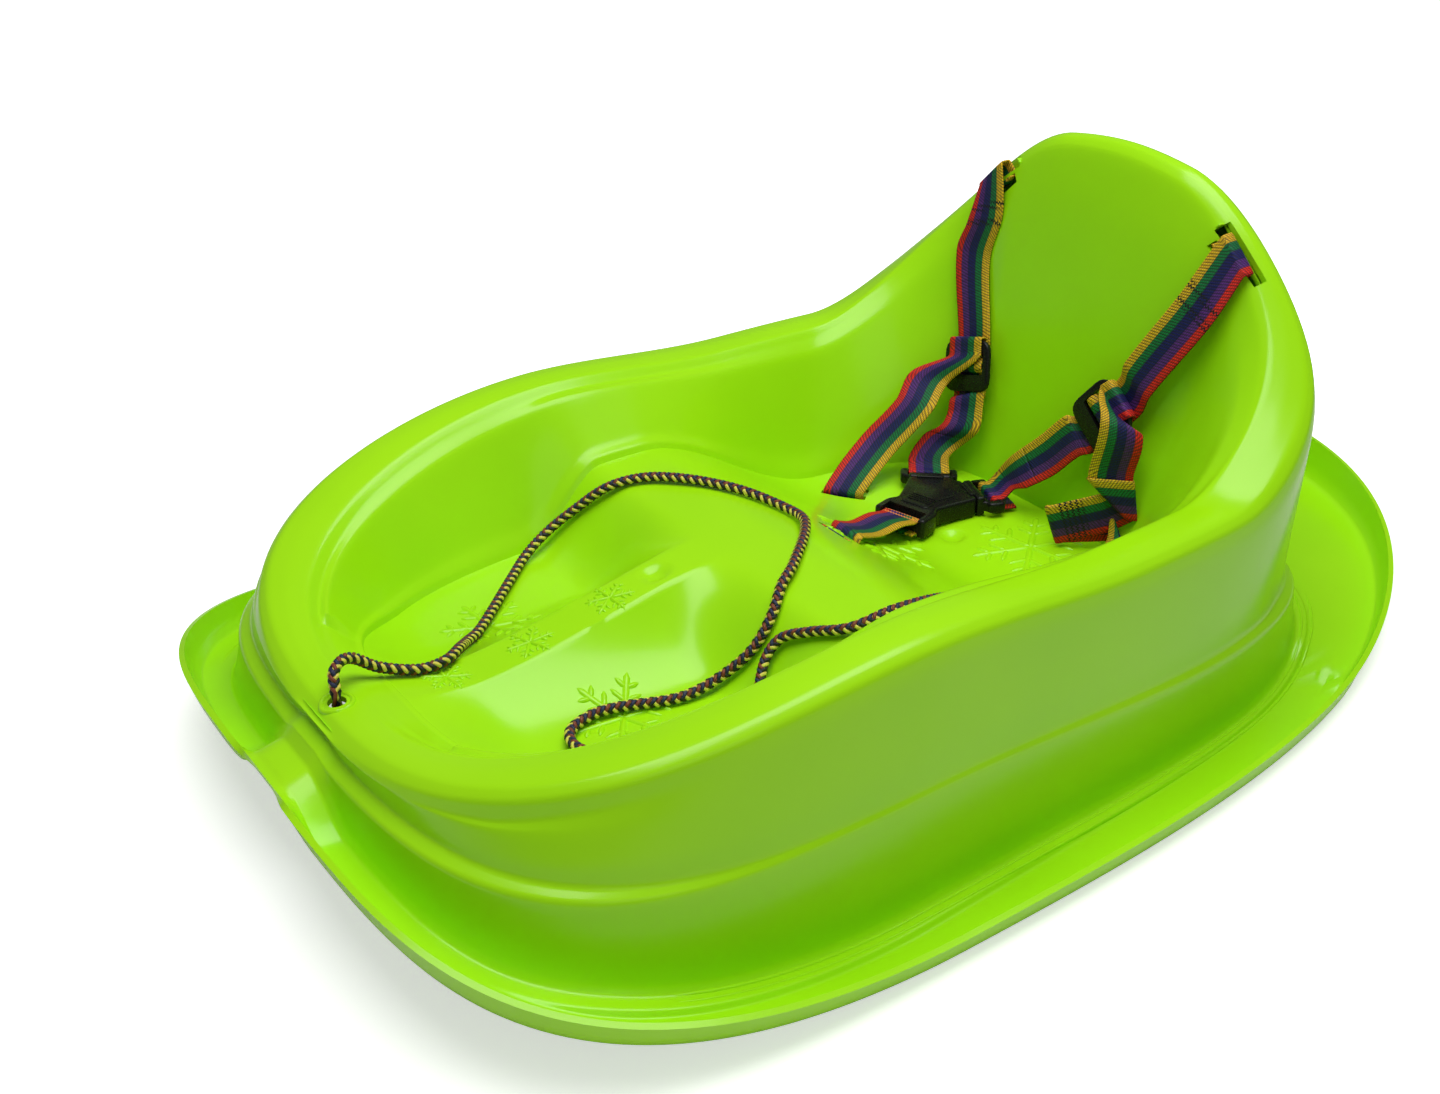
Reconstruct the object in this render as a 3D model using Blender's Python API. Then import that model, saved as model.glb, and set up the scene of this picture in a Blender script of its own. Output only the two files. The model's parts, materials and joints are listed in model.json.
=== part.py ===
"""Toddler sled: one moulded plastic shell, a three-point webbing harness with its buckle, and a tow rope.

Metres, +Z up. The bow points along -Y, the backrest stands at +Y, and the child's left side is +X.
The origin is on the ground, under the middle of the sled's box.
"""
import math

import bmesh
import bpy
from mathutils import Matrix, Vector

# Overall size of the moulded shell
SLED_LENGTH = 0.700
SLED_WIDTH = 0.462
BACKREST_HEIGHT = 0.268
SHEET = 0.003

# Heights of the rim round the tub
RIM_HEIGHT_BOW = 0.0915
RIM_HEIGHT_SIDE = 0.143
RIM_HEIGHT_HIP = 0.134

# Where along the sled, from 0 at the bow to 1 at the stern, heights change
BOW_RISE_END = (0.05, 0.5)
HIP_DIP = (0.5, 0.65)
ARCH_RISE = ((0.80, 0.73, 0.95), (0.20, 0.80, 1.0))
STERN_RISE = (0.75, 1)
UPSTAND_GROWTH = (0, 0.45)
LEDGE_FALL = (0.1, 0.4)
LEDGE_DROP = (0.5, 0.75)
STEP_START = (0.2, 0.3)
CHANNEL_START = (0.7, 0.8)

# Outer tray: lip, gutter and the step at the foot of the wall
LIP_HEIGHT = 0.017
LIP_RISE_BOW = 0.0505
LIP_RISE_STERN = 0.045
LIP_UPSTAND_BOW = 0.018
LIP_FLARE = 0.0035
DECK_STEP_HEIGHT = 0.005
DECK_STEP_FROM_STERN = 0.160
DECK_RISE = 0.029
GUTTER_STEP_WIDTH = 0.011
GUTTER_STEP_HEIGHT = 0.003
GUTTER_STEP_EDGE = 0.003
GUTTER_ROUND = 0.004
GUTTER_SHARES = (0.36, 0.45)
LIP_BEND_SHARE = 0.35
DECK_STEP_SLOPE = 0.008
STEP_ROUND = 0.002
GROUND_FLAT = 0.0004

# Tub walls
FOOT_WIDTH = 0.388
FOOT_BOW_GAP = 0.023
FOOT_STERN_GAP = 0.116
LEDGE_HEIGHT = 0.068
LEDGE_BOW_RISE = 0.007
LEDGE_STERN_DROP = 0.014
LEDGE_WIDTH = 0.007
LEDGE_PLAN_SHARE = 0.30
LEDGE_DIP = 0.001
LEDGE_RISE = 0.002
LEDGE_CLEAR = 0.006
FOOT_ROUND = 0.005
TUB_WIDTH = 0.370
TUB_BOW_GAP = 0.030
TUB_STERN_GAP = 0.146
RIM_WIDTH = 0.034
RIM_WIDTH_BOW = 0.027
RIM_WIDTH_STERN = 0.021
BACK_RECLINE_DEPTH = 0.040
SIDE_TAPER = 0.03
FOOT_TAPER = 0.05

# Points of the walls: share of the way in plan, then share of the height
LOWER_WALL = (0.75, 0.7)
UPPER_WALL = ((0.15, 0.22), (0.66, 0.55))
INNER_WALL_SHARES = (0.16, 0.40, 0.64, 0.84)

# Bends of the rim: distance in from its edge, drop below its crest and the largest share of the wall's height
RIM_BEND_OUT = ((0, 0.014, 0.4), (0.002, 0.005, 0.4), (0.007, 0.001, 0.4))
RIM_BEND_IN = ((0.006, 0.001, 0.1), (0.001, 0.006, 0.3))
LEAST_DROP = 0.004
SHALLOW_DROP = 0.02
FLOOR_ROUND = 0.004

# Where each plan outline is widest, and how square its corners are at the bow and astern
LIP_WIDEST_Y = -0.1115
LIP_SQUARENESS = (3.6, 2.75)
FOOT_WIDEST_Y = -0.130
FOOT_SQUARENESS = (3.6, 5.0)
TUB_WIDEST_Y = -0.100
RIM_OUT_SQUARENESS = (2.9, 6.5)
RIM_IN_SQUARENESS = (2.7, 7.0)
FLOOR_SQUARENESS = (2.9, 4.5)

# Floor of the tub
FLOOR_WIDTH = 0.234
FLOOR_BOW_SETBACK = 0.0155
FLOOR_HEIGHT_BOW = 0.086
RIDGE_DIP = 0.004
RIDGE_DIP_END = 0.0415
HUMP_RISE_START = 0.0315
TROUGH_START = -0.0155
TROUGH_SLOPE_LENGTH = 0.062
TROUGH_END_GAP = 0.012
TROUGH_END_LENGTH = 0.052
HUMP_TOP_LENGTH = 0.015
RIDGE_HALF_WIDTH = 0.012
RIDGE_SLOPE = 0.046
RIDGE_SLOPE_POWER = 1.7
HUMP_HEIGHT = 0.105
HUMP_FROM_BACK = 0.223
TROUGH_HEIGHT = 0.065
SEAT_HEIGHT = 0.054
SEAT_FLOOR_LENGTH = 0.083
BACK_CHANNEL_X = 0.077
BACK_CHANNEL_DEPTH = 0.006
BACK_CHANNEL_HALF_WIDTH = 0.022
BACK_CHANNEL_FOOT = 0.6
BACK_CHANNEL_TOP = 0.4
SPINE_SETBACK = 0.02

# Rib that ties the lip to the tub at the bow
BOW_RIB_HALF_WIDTH = 0.012
BOW_RIB_SLOPE = 0.036
BOW_RIB_RISE = 0.006
BOW_RIB_SINK = 0.001
BOW_RIB_END = 0.25

# Where the columns of the shell's grid stand, as shares of a quarter outline
FRONT_COLUMNS = (0, .045, .085, .115, .145, .19, .25, .32, .39, .46, .53, .61, .69, .77, .85, .93)
REAR_COLUMNS = (0, .08, .16, .24, .32, .39, .45, .50, .55, .60, .65, .70, .75, .80, .85, .89, .93, .965, 1)
FLOOR_SHARES = (.12, .30, .48, .62, .74, .86, 1)

GREEN = (0.40, 0.82, 0.02, 1)
BLACK = (0.012, 0.012, 0.014, 1)
WEBBING_BLUE = (0.03, 0.04, 0.16, 1)
ROPE_BLACK = (0.02, 0.02, 0.03, 1)

# Play between touching pieces
CLEARANCE = 0.0003

# Webbing, and the slots that it is anchored in
WEB_WIDTH = 0.025
WEB_THICKNESS = 0.0014
WEB_SLOT_LENGTH = 0.0265
STRAP_GAP = WEB_THICKNESS / 2 + CLEARANCE * 1.6
STRAP_STEP = 0.008
HOOK_TAIL = 0.009
SHOULDER_SLOT_X = 0.0918
SHOULDER_SLOT_LENGTH = 0.038
SHOULDER_SLOT_WIDTH = 0.006
SHOULDER_BAR_HEIGHT = 0.008
SHOULDER_BAR_SINK = 0.0035
SHOULDER_SPAN = 0.012
SHOULDER_TAIL = (0.012, 0.004)
LOOP_SLOT_HEIGHT = 0.006
FLOOR_SLOT_LENGTH = 0.0275
FLOOR_SLOT_WIDTH = 0.0045
FLOOR_BAR_WIDTH = 0.005
SLOPE_PROBE = 0.002
HOOK_LEAD = 0.003
WAIST_SLOT_X = 0.0805
WAIST_SLOT_FROM_BACK = 0.082
WAIST_SLOT_ANGLE = math.radians(39)
CROTCH_BAR_FROM_HUMP = 0.072

# Three-way buckle
BUCKLE_THICKNESS = 0.012
BUCKLE_WALL = 0.002
BUCKLE_ROUNDING = 0.0012
BUCKLE_X = -0.029
BUCKLE_FROM_BACK = 0.0575
BUCKLE_LIFT = 0.0012
BUCKLE_TURN = math.radians(15)
BUCKLE_TILT = math.radians(1.6)
PLUG_SPREAD = math.radians(36)
MOUTH_RADIUS = 0.024
MOUTH_FLANGE = 0.0045
SOCKET_HALF_WIDTH = 0.0083
LADDER_LENGTH = 0.035
PLUG_TONGUE_START = 0.0120
PLUG_ARM_WIDTH = 0.0048
PLUG_REACH = 0.041
PLUG_FRAME_WIDTH = 0.035
PLUG_FRAME_HEIGHT = 0.0066
PLUG_COLLAR_WIDTH = 0.0052
PLUG_BAR_WIDTH = 0.0045
PLUG_BAR_HEIGHT = 0.0044
PLUG_SLOT = 0.0055
BODY_WAIST_FLARE = 0.006
BODY_CORNER = 0.004
BODY_NOTCH = 0.002
CUT_OVERRUN = 0.002
BAR_RELIEF = 0.001
FRAME_CHAMFER = 0.001
PRONG_ROOT = 0.6
BAR_STAGGER = 0.0001

# Strap sliders: place is x, height above the seat and gap before the backrest
SLIDER_WIDTH = 0.035
SLIDER_HEIGHT = 0.032
SLIDER_THICKNESS = 0.0035
SLIDER_TOP_BAR = 0.0075
SLIDER_WINDOW = 0.014
SLIDER_CENTRE_BAR = 0.003
WEAVE_ENTRY = 0.004
WEAVE_BEND = 0.001
SLIDER_LEFT = (0.0464, 0.0764, 0.0155)
SLIDER_LEFT_UP = (0.589, 0.204, 0.783)
SLIDER_LEFT_ACROSS = (0.80, -0.10, -0.56)
SLIDER_RIGHT = (-0.068, 0.067, 0.0109)
SLIDER_RIGHT_UP = (-0.284, 0.247, 0.926)
SLIDER_RIGHT_ACROSS = (0.951, 0.128, 0.28)

# Free runs of the straps: first along the backrest, then offsets from what each strap ends on
SHOULDER_LEFT_KEYS = (((0.0835, 0.148, 0.0065), (0.80, -0.10, -0.60)),
                      ((0.0640, 0.104, 0.0110), (0.86, -0.05, -0.45)))
SHOULDER_RIGHT_KEYS = (((-0.0905, 0.150, 0.0050), (0.85, 0.10, 0.45)),
                       ((-0.0900, 0.122, 0.0050), (0.98, 0.19, 0.02)))
PLUG_LEFT_KEYS = (((0.030, 0.0151, 0.0362), (0.72, -0.15, -0.68)),
                  ((0.011, 0.0125, 0.0177), (0.85, -0.30, -0.42)),
                  ((0.0035, 0.0085, 0.0070), (0.934, -0.358, 0)))
PLUG_RIGHT_KEYS = (((0.0018, 0.021, 0.0282), (0.92, 0.38, 0.05)),
                   ((-0.0055, 0.0150, 0.0172), (0.74, 0.64, -0.15)),
                   ((-0.0062, 0.0055, 0.0062), (0.629, 0.777, 0)))
WAIST_LEFT_KEYS = (((-0.0275, 0.0700, 0.0700), (0.82, 0.15, -0.45)),
                   ((-0.0190, 0.0680, 0.0480), (0.72, 0.62, -0.15)),
                   ((-0.0150, 0.0560, 0.0270), (0.82, 0.45, -0.10)),
                   ((-0.0060, 0.0240, 0.0115), (0.85, -0.35, 0)))
WAIST_RIGHT_KEYS = (((-0.0010, 0.0670, 0.0591), (0.80, 0.57, -0.15)),
                    ((0.0021, 0.0510, 0.0451), (0.93, 0.33, -0.10)),
                    ((-0.0039, 0.0260, 0.0217), (0.95, 0.22, -0.22)))
CROTCH_KEYS = (((-0.0150, 0.046, -0.0110), (0.95, 0.25, 0)),
               ((-0.0100, 0.028, -0.0085), (0.97, 0.15, 0)),
               ((-0.0030, 0.012, -0.0010), (1, 0.05, 0)))

# Tow rope
ROPE_WIDTH = 0.006
TOW_HOLE_WIDTH = 0.009
TOW_HOLE_FORWARD = 0.0005
TOW_RING_WIDTH = 0.015
TOW_RING_HEIGHT = 0.0015
ANCHOR_KNOT_WIDTH = 0.0156
ANCHOR_KNOT_HEIGHT = 0.0126
END_KNOT_WIDTH = 0.0146
ROUTE_HOLE_Y = -0.307
ROUTE_HUMP_Y = -0.080
ROPE_ROUTE = (
    (0.0000, -0.3070, 0.0886), (0.0000, -0.3070, 0.0970), (-0.0050, -0.3045, 0.1045),
    (-0.0135, -0.2935, 0.1030), (-0.0130, -0.2790, 0.0925), (-0.0062, -0.2620, 0.0883),
    (-0.0068, -0.2480, 0.0876), (-0.0184, -0.2350, 0.0836), (-0.0330, -0.2240, 0.0757),
    (-0.0467, -0.2093, 0.0710), (-0.0861, -0.1695, 0.0686), (-0.1044, -0.1480, 0.0703),
    (-0.1074, -0.1323, 0.0780), (-0.1025, -0.1195, 0.0880), (-0.0872, -0.1020, 0.1055),
    (-0.0754, -0.0788, 0.1088), (-0.0434, -0.0509, 0.1069), (-0.0106, -0.0350, 0.1016),
    (0.0119, -0.0424, 0.1053), (0.0473, -0.0774, 0.1090), (0.0598, -0.0944, 0.1082),
    (0.0698, -0.1083, 0.0999), (0.0709, -0.1210, 0.0858), (0.0649, -0.1372, 0.0724),
    (0.0630, -0.1579, 0.0686), (0.0534, -0.1886, 0.0697), (0.0519, -0.2023, 0.0698),
    (0.0574, -0.2171, 0.0692), (0.0720, -0.2205, 0.0695), (0.0895, -0.2075, 0.0700),
    (0.1000, -0.1820, 0.0710), (0.1010, -0.1550, 0.0718), (0.0930, -0.1350, 0.0762),
    (0.0825, -0.1209, 0.0873), (0.0833, -0.1125, 0.0957), (0.0950, -0.1048, 0.1025),
    (0.1120, -0.0932, 0.1092), (0.1168, -0.0698, 0.1134), (0.1124, -0.0330, 0.1048),
    (0.1018, 0.0050, 0.0838))


def floor_bow():
    """Where the tub's floor begins behind the bow, on the centre line."""
    return -SLED_LENGTH / 2 + TUB_BOW_GAP + RIM_WIDTH_BOW + FLOOR_BOW_SETBACK


def seat_back():
    """Where the seat's floor meets the backrest, on the centre line."""
    return SLED_LENGTH / 2 - TUB_STERN_GAP - RIM_WIDTH_STERN - BACK_RECLINE_DEPTH


def hump_y():
    """Where the knee hump between the leg troughs and the seat is highest."""
    return seat_back() - HUMP_FROM_BACK


def smoothstep(low, high, value):
    """Blend that runs smoothly from 0 at low to 1 at high."""
    share = min(max((value - low) / (high - low), 0.0), 1.0)
    return share * share * (3 - 2 * share)


def mix(first, second, share):
    return first + (second - first) * share


def toward(start, goal, distance):
    """Point at a distance from start in the direction of goal."""
    return start + (goal - start).normalized() * distance


def quarter(half_width, middle_y, end_y, power, taper, shares):
    """Plan points of one quarter outline, from its widest point to its end on the centre line."""
    dense = []
    for step in range(241):
        angle = math.pi / 2 * step / 240
        across = math.cos(angle) ** (2 / power)
        along = math.sin(angle) ** (2 / power)
        narrow = 1 - taper * min(along * 1.15, 1)
        dense.append(Vector((half_width * across * narrow, mix(middle_y, end_y, along))))
    dense[-1].x = 0
    lengths = [0.0]
    for before, after in zip(dense, dense[1:]):
        lengths.append(lengths[-1] + (after - before).length)
    points = []
    index = 0
    for share in shares:
        target = share * lengths[-1]
        while index < len(lengths) - 2 and lengths[index + 1] < target:
            index += 1
        part = (target - lengths[index]) / (lengths[index + 1] - lengths[index])
        points.append(dense[index].lerp(dense[index + 1], min(part, 1)))
    return points


def half_outline(half_width, middle_y, bow_y, stern_y, squareness, taper=0.0):
    """Plan points of the +X half outline, bow centre to stern centre, one for each column."""
    bow_power, stern_power = squareness
    front = quarter(half_width, middle_y, bow_y, bow_power, 0.0, [1 - s for s in reversed(FRONT_COLUMNS)])
    front = [p for p in reversed(front)]
    rear = quarter(half_width, middle_y, stern_y, stern_power, taper, REAR_COLUMNS)
    return front + rear


def column_stations():
    """Station of each column: 0 at the bow centre, 0.5 at the widest point, 1 at the stern centre."""
    return [s / 2 for s in FRONT_COLUMNS] + [0.5 + s / 2 for s in REAR_COLUMNS]


def outlines():
    """The plan outlines that the shell's profile runs through."""
    bow = -SLED_LENGTH / 2
    stern = SLED_LENGTH / 2
    tub_bow = bow + TUB_BOW_GAP
    tub_stern = stern - TUB_STERN_GAP
    rim_bow = tub_bow + RIM_WIDTH_BOW
    rim_stern = tub_stern - RIM_WIDTH_STERN
    return {
        "lip": half_outline(SLED_WIDTH / 2 - SHEET, LIP_WIDEST_Y, bow + SHEET, stern - SHEET, LIP_SQUARENESS),
        "foot": half_outline(FOOT_WIDTH / 2, FOOT_WIDEST_Y, bow + FOOT_BOW_GAP, stern - FOOT_STERN_GAP,
                             FOOT_SQUARENESS, FOOT_TAPER),
        "rim_out": half_outline(TUB_WIDTH / 2, TUB_WIDEST_Y, tub_bow, tub_stern,
                                RIM_OUT_SQUARENESS, SIDE_TAPER),
        "rim_in": half_outline(TUB_WIDTH / 2 - RIM_WIDTH, TUB_WIDEST_Y, rim_bow, rim_stern,
                               RIM_IN_SQUARENESS, SIDE_TAPER),
        "floor": half_outline(FLOOR_WIDTH / 2, TUB_WIDEST_Y, floor_bow(), seat_back(),
                              FLOOR_SQUARENESS, SIDE_TAPER),
    }


def rim_height(station):
    side = mix(RIM_HEIGHT_BOW, RIM_HEIGHT_SIDE, smoothstep(0, 0.5, station))
    hip = mix(side, RIM_HEIGHT_HIP, smoothstep(*HIP_DIP, station))
    arch = sum(part * smoothstep(low, high, station) for part, low, high in ARCH_RISE)
    return mix(hip, BACKREST_HEIGHT, arch)


def lip_height(station):
    rise = LIP_RISE_BOW * (1 - smoothstep(*BOW_RISE_END, station))
    return LIP_HEIGHT + rise + LIP_RISE_STERN * smoothstep(*STERN_RISE, station)


def gutter_height(station, plan):
    """Top of the gutter floor: it lies on the ground amidships, rises at the bow and steps up astern."""
    upstand = mix(LIP_UPSTAND_BOW, LIP_HEIGHT - SHEET + GROUND_FLAT, smoothstep(*UPSTAND_GROWTH, station))
    floor = LIP_HEIGHT + LIP_RISE_BOW * (1 - smoothstep(*BOW_RISE_END, station)) - upstand
    deck_step = SLED_LENGTH / 2 - DECK_STEP_FROM_STERN
    floor += DECK_STEP_HEIGHT * smoothstep(deck_step, deck_step + DECK_STEP_SLOPE, plan.y)
    floor += DECK_RISE * smoothstep(*STERN_RISE, station)
    rib = 1 - smoothstep(BOW_RIB_HALF_WIDTH, BOW_RIB_HALF_WIDTH + BOW_RIB_SLOPE, abs(plan.x))
    if station > BOW_RIB_END:
        rib = 0
    inward = min(max((plan.y + SLED_LENGTH / 2) / FOOT_BOW_GAP, 0), 1)
    return mix(floor, lip_height(station) - BOW_RIB_SINK + BOW_RIB_RISE * inward, rib)


def floor_height(x, y):
    """Height of the tub's floor: a centre ridge between two leg troughs, a knee hump, then the seat."""
    along = y - floor_bow()
    ridge = FLOOR_HEIGHT_BOW - RIDGE_DIP * smoothstep(0, RIDGE_DIP_END, along)
    ridge = mix(ridge, HUMP_HEIGHT, smoothstep(HUMP_RISE_START, hump_y() - floor_bow(), along))
    seat_start = seat_back() - SEAT_FLOOR_LENGTH
    ridge = mix(ridge, SEAT_HEIGHT, smoothstep(hump_y() + HUMP_TOP_LENGTH, seat_start, y))
    level = min(max(1 - (abs(x) - RIDGE_HALF_WIDTH) / RIDGE_SLOPE, 0), 1)
    aside = 1 - level ** RIDGE_SLOPE_POWER
    start = smoothstep(TROUGH_START, TROUGH_START + TROUGH_SLOPE_LENGTH, along)
    trough_end = hump_y() - TROUGH_END_GAP
    end = smoothstep(trough_end - TROUGH_END_LENGTH, trough_end, y)
    return mix(ridge, TROUGH_HEIGHT, aside * start * (1 - end))


def section(station, lip, foot, rim_out, rim_in, floor, spine):
    """Profile of the sheet's upper face at one column, from the lip's edge in to the centre line."""
    rim = rim_height(station)
    edge = lip_height(station)
    floor_edge = floor_height(floor.x, floor.y)
    drop = max(rim - floor_edge, LEAST_DROP)
    ledge = LEDGE_HEIGHT + LEDGE_BOW_RISE * (1 - smoothstep(*LEDGE_FALL, station))
    ledge -= LEDGE_STERN_DROP * smoothstep(*LEDGE_DROP, station)
    rows = []

    def add(plan, height):
        rows.append(Vector((plan.x, plan.y, height)))

    def on_gutter(plan, extra=0.0):
        add(plan, gutter_height(station, plan) + extra)

    step = GUTTER_STEP_HEIGHT * smoothstep(*STEP_START, station)
    reach = (foot - lip).length
    step_width = min(GUTTER_STEP_WIDTH, reach * 0.4)
    add(lip, edge)
    inner = toward(lip, foot, LIP_FLARE)
    add(inner, mix(gutter_height(station, inner), edge, LIP_BEND_SHARE))
    on_gutter(toward(lip, foot, min(LIP_FLARE + GUTTER_ROUND, reach * 0.3)))
    for share in GUTTER_SHARES:
        on_gutter(lip.lerp(foot, share))
    on_gutter(toward(foot, lip, step_width + min(STEP_ROUND, reach * 0.08)))
    on_gutter(toward(foot, lip, step_width), step)
    on_gutter(toward(foot, lip, GUTTER_STEP_EDGE), step)
    foot_base = gutter_height(station, foot) + step
    ledge = max(ledge, foot_base + LEDGE_CLEAR)
    lower = foot.lerp(rim_out, LEDGE_PLAN_SHARE)
    add(foot, min(foot_base + FOOT_ROUND, mix(foot_base, ledge, 0.4)))
    across, share = LOWER_WALL
    add(foot.lerp(lower, across), mix(foot_base, ledge, share))
    add(lower, ledge - LEDGE_DIP)
    upper = toward(lower, rim_out, LEDGE_WIDTH)
    add(upper, ledge + LEDGE_RISE)
    for across, share in UPPER_WALL:
        add(upper.lerp(rim_out, across), mix(ledge, rim, share))
    for inward, below, most in RIM_BEND_OUT:
        add(toward(rim_out, rim_in, inward), rim - min(below, (rim - ledge) * most))
    add(rim_out.lerp(rim_in, 0.5), rim)
    for outward, below, most in RIM_BEND_IN:
        add(toward(rim_in, rim_out, outward), rim - min(below, drop * most))
    channel = 1 - smoothstep(0, BACK_CHANNEL_HALF_WIDTH, abs(floor.x - BACK_CHANNEL_X))
    channel *= BACK_CHANNEL_DEPTH * smoothstep(*CHANNEL_START, station)
    wall_top = rim if drop > SHALLOW_DROP else rim - drop * 0.3
    for share in INNER_WALL_SHARES:
        plan = rim_in.lerp(floor, share)
        plan.y += channel * smoothstep(0, BACK_CHANNEL_TOP, share)
        add(plan, mix(wall_top, floor_edge, share))
    floor_in = floor.copy()
    floor_in.y += channel * BACK_CHANNEL_FOOT
    add(floor_in, floor_edge + min(FLOOR_ROUND, drop * 0.1))
    for share in FLOOR_SHARES:
        plan = floor.lerp(spine, share)
        add(plan, floor_height(plan.x, plan.y))
    return rows


def spine_points(floor):
    """Points on the centre line that the floor's rows close on, one for each column."""
    front = floor[0].y
    back = floor[-1].y
    points = []
    for plan in floor:
        share = (plan.y - front) / (back - front)
        points.append(Vector((0, mix(front + SPINE_SETBACK, back - SPINE_SETBACK, share))))
    return points


def make_material(name, colour, roughness, metallic=0.0):
    material = bpy.data.materials.new(name)
    material.use_nodes = True
    shader = material.node_tree.nodes["Principled BSDF"]
    shader.inputs["Base Color"].default_value = colour
    shader.inputs["Roughness"].default_value = roughness
    shader.inputs["Metallic"].default_value = metallic
    return material


def add_object(name, mesh, material=None):
    thing = bpy.data.objects.new(name, mesh)
    bpy.context.scene.collection.objects.link(thing)
    if material:
        mesh.materials.append(material)
    return thing


def add_helper(name, mesh):
    """A cutter or a form that a Boolean reads; it isn't a part of the object."""
    thing = add_object(name, mesh)
    thing.hide_render = True
    thing.display_type = "WIRE"
    return thing


def combine(thing, helper, operation):
    boolean = thing.modifiers.new(helper.name, "BOOLEAN")
    boolean.operation = operation
    boolean.object = helper


def frame(origin, x_axis, y_axis):
    """Matrix of a local frame with the given origin, x axis and y axis."""
    x_axis = x_axis.normalized()
    z_axis = x_axis.cross(y_axis).normalized()
    y_axis = z_axis.cross(x_axis)
    matrix = Matrix((x_axis, y_axis, z_axis)).transposed().to_4x4()
    matrix.translation = origin
    return matrix


def prism(outline, low, high, place, rounding=0.0):
    """Closed solid between two copies of an outline, in the place frame, with its edges rounded."""
    grid = bmesh.new()
    face = grid.faces.new([grid.verts.new((x, y, low)) for x, y in outline])
    sides = bmesh.ops.extrude_face_region(grid, geom=[face])
    moved = [part for part in sides["geom"] if isinstance(part, bmesh.types.BMVert)]
    bmesh.ops.translate(grid, verts=moved, vec=(0, 0, high - low))
    bmesh.ops.recalc_face_normals(grid, faces=grid.faces)
    if rounding:
        bmesh.ops.bevel(grid, geom=grid.edges[:], offset=rounding, segments=2, profile=0.5, affect="EDGES")
    bmesh.ops.transform(grid, matrix=place, verts=grid.verts)
    bmesh.ops.recalc_face_normals(grid, faces=grid.faces)
    mesh = bpy.data.meshes.new("prism")
    grid.to_mesh(mesh)
    grid.free()
    return mesh


def rectangle(left, right, low, high):
    return [(left, low), (right, low), (right, high), (left, high)]


def box(place, half_x, half_y, half_z, rounding=0.0):
    return prism(rectangle(-half_x, half_x, -half_y, half_y), -half_z, half_z, place, rounding)


def disc(radius, low, high, centre, sides):
    """Closed round plate or pin that stands upright at centre."""
    grid = bmesh.new()
    place = Matrix.Translation(centre + Vector((0, 0, (low + high) / 2)))
    bmesh.ops.create_cone(grid, cap_ends=True, segments=sides, radius1=radius, radius2=radius,
                          depth=high - low, matrix=place)
    mesh = bpy.data.meshes.new("disc")
    grid.to_mesh(mesh)
    grid.free()
    return mesh


def refine(stations):
    """Adds stations on a smooth curve wherever two stations of a strap lie far apart."""
    stations = same_way(stations)
    points = [point for point, width in stations]
    directions = travel(points)
    fine = [stations[0]]
    for index in range(len(points) - 1):
        span = (points[index + 1] - points[index]).length
        count = max(1, math.ceil(span / STRAP_STEP))
        for step in range(1, count + 1):
            share = step / count
            point = hermite(points[index], directions[index] * span,
                            points[index + 1], directions[index + 1] * span, share)
            width = stations[index][1].lerp(stations[index + 1][1], share).normalized()
            fine.append((point, width))
    return fine


def same_way(stations):
    """The stations with each width direction turned to agree with the one before it."""
    turned = [stations[0]]
    for point, width in stations[1:]:
        if width.dot(turned[-1][1]) < 0:
            width = -width
        turned.append((point, width))
    return turned


def travel(points):
    """Direction of travel at each point of a route."""
    directions = []
    for index in range(len(points)):
        before = points[max(index - 1, 0)]
        after = points[min(index + 1, len(points) - 1)]
        directions.append((after - before).normalized())
    return directions


def hermite(start, start_pull, end, end_pull, share):
    square = share * share
    cube = square * share
    return (start * (2 * cube - 3 * square + 1) + start_pull * (cube - 2 * square + share)
            + end * (3 * square - 2 * cube) + end_pull * (cube - square))


def wrap(seat, half_x, half_z, corners):
    """Stations of a strap that is bent round a bar: the strap's width runs along the frame's y axis."""
    width = seat.to_3x3() @ Vector((0, 1, 0))
    stations = []
    for side_x, side_z, start, end in corners:
        for step in range(3):
            angle = math.radians(mix(start, end, step / 2))
            local = Vector((side_x * half_x + STRAP_GAP * math.cos(angle), 0,
                            side_z * half_z + STRAP_GAP * math.sin(angle)))
            stations.append((seat @ local, width))
    return stations


def make_ribbon(name, stations, material):
    """Flat webbing: a rectangular section carried along its stations."""
    stations = refine(stations)
    grid = bmesh.new()
    rings = []
    for index, (point, width) in enumerate(stations):
        before = stations[max(index - 1, 0)][0]
        after = stations[min(index + 1, len(stations) - 1)][0]
        normal = width.cross(after - before).normalized() * (WEB_THICKNESS / 2)
        across = width * (WEB_WIDTH / 2)
        corners = (point - across - normal, point + across - normal,
                   point + across + normal, point - across + normal)
        rings.append([grid.verts.new(corner) for corner in corners])
    for before, after in zip(rings, rings[1:]):
        for side in range(4):
            following = (side + 1) % 4
            grid.faces.new((before[side], before[following], after[following], after[side]))
    grid.faces.new(rings[0])
    grid.faces.new(rings[-1])
    bmesh.ops.recalc_face_normals(grid, faces=grid.faces)
    mesh = bpy.data.meshes.new(name)
    grid.to_mesh(mesh)
    grid.free()
    return add_object(name, mesh, material)


def tow_hole():
    """Middle of the tow hole, on the crest of the bow rim."""
    crest = -SLED_LENGTH / 2 + TUB_BOW_GAP + RIM_WIDTH_BOW / 2
    return Vector((0, crest - TOW_HOLE_FORWARD, RIM_HEIGHT_BOW))


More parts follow.
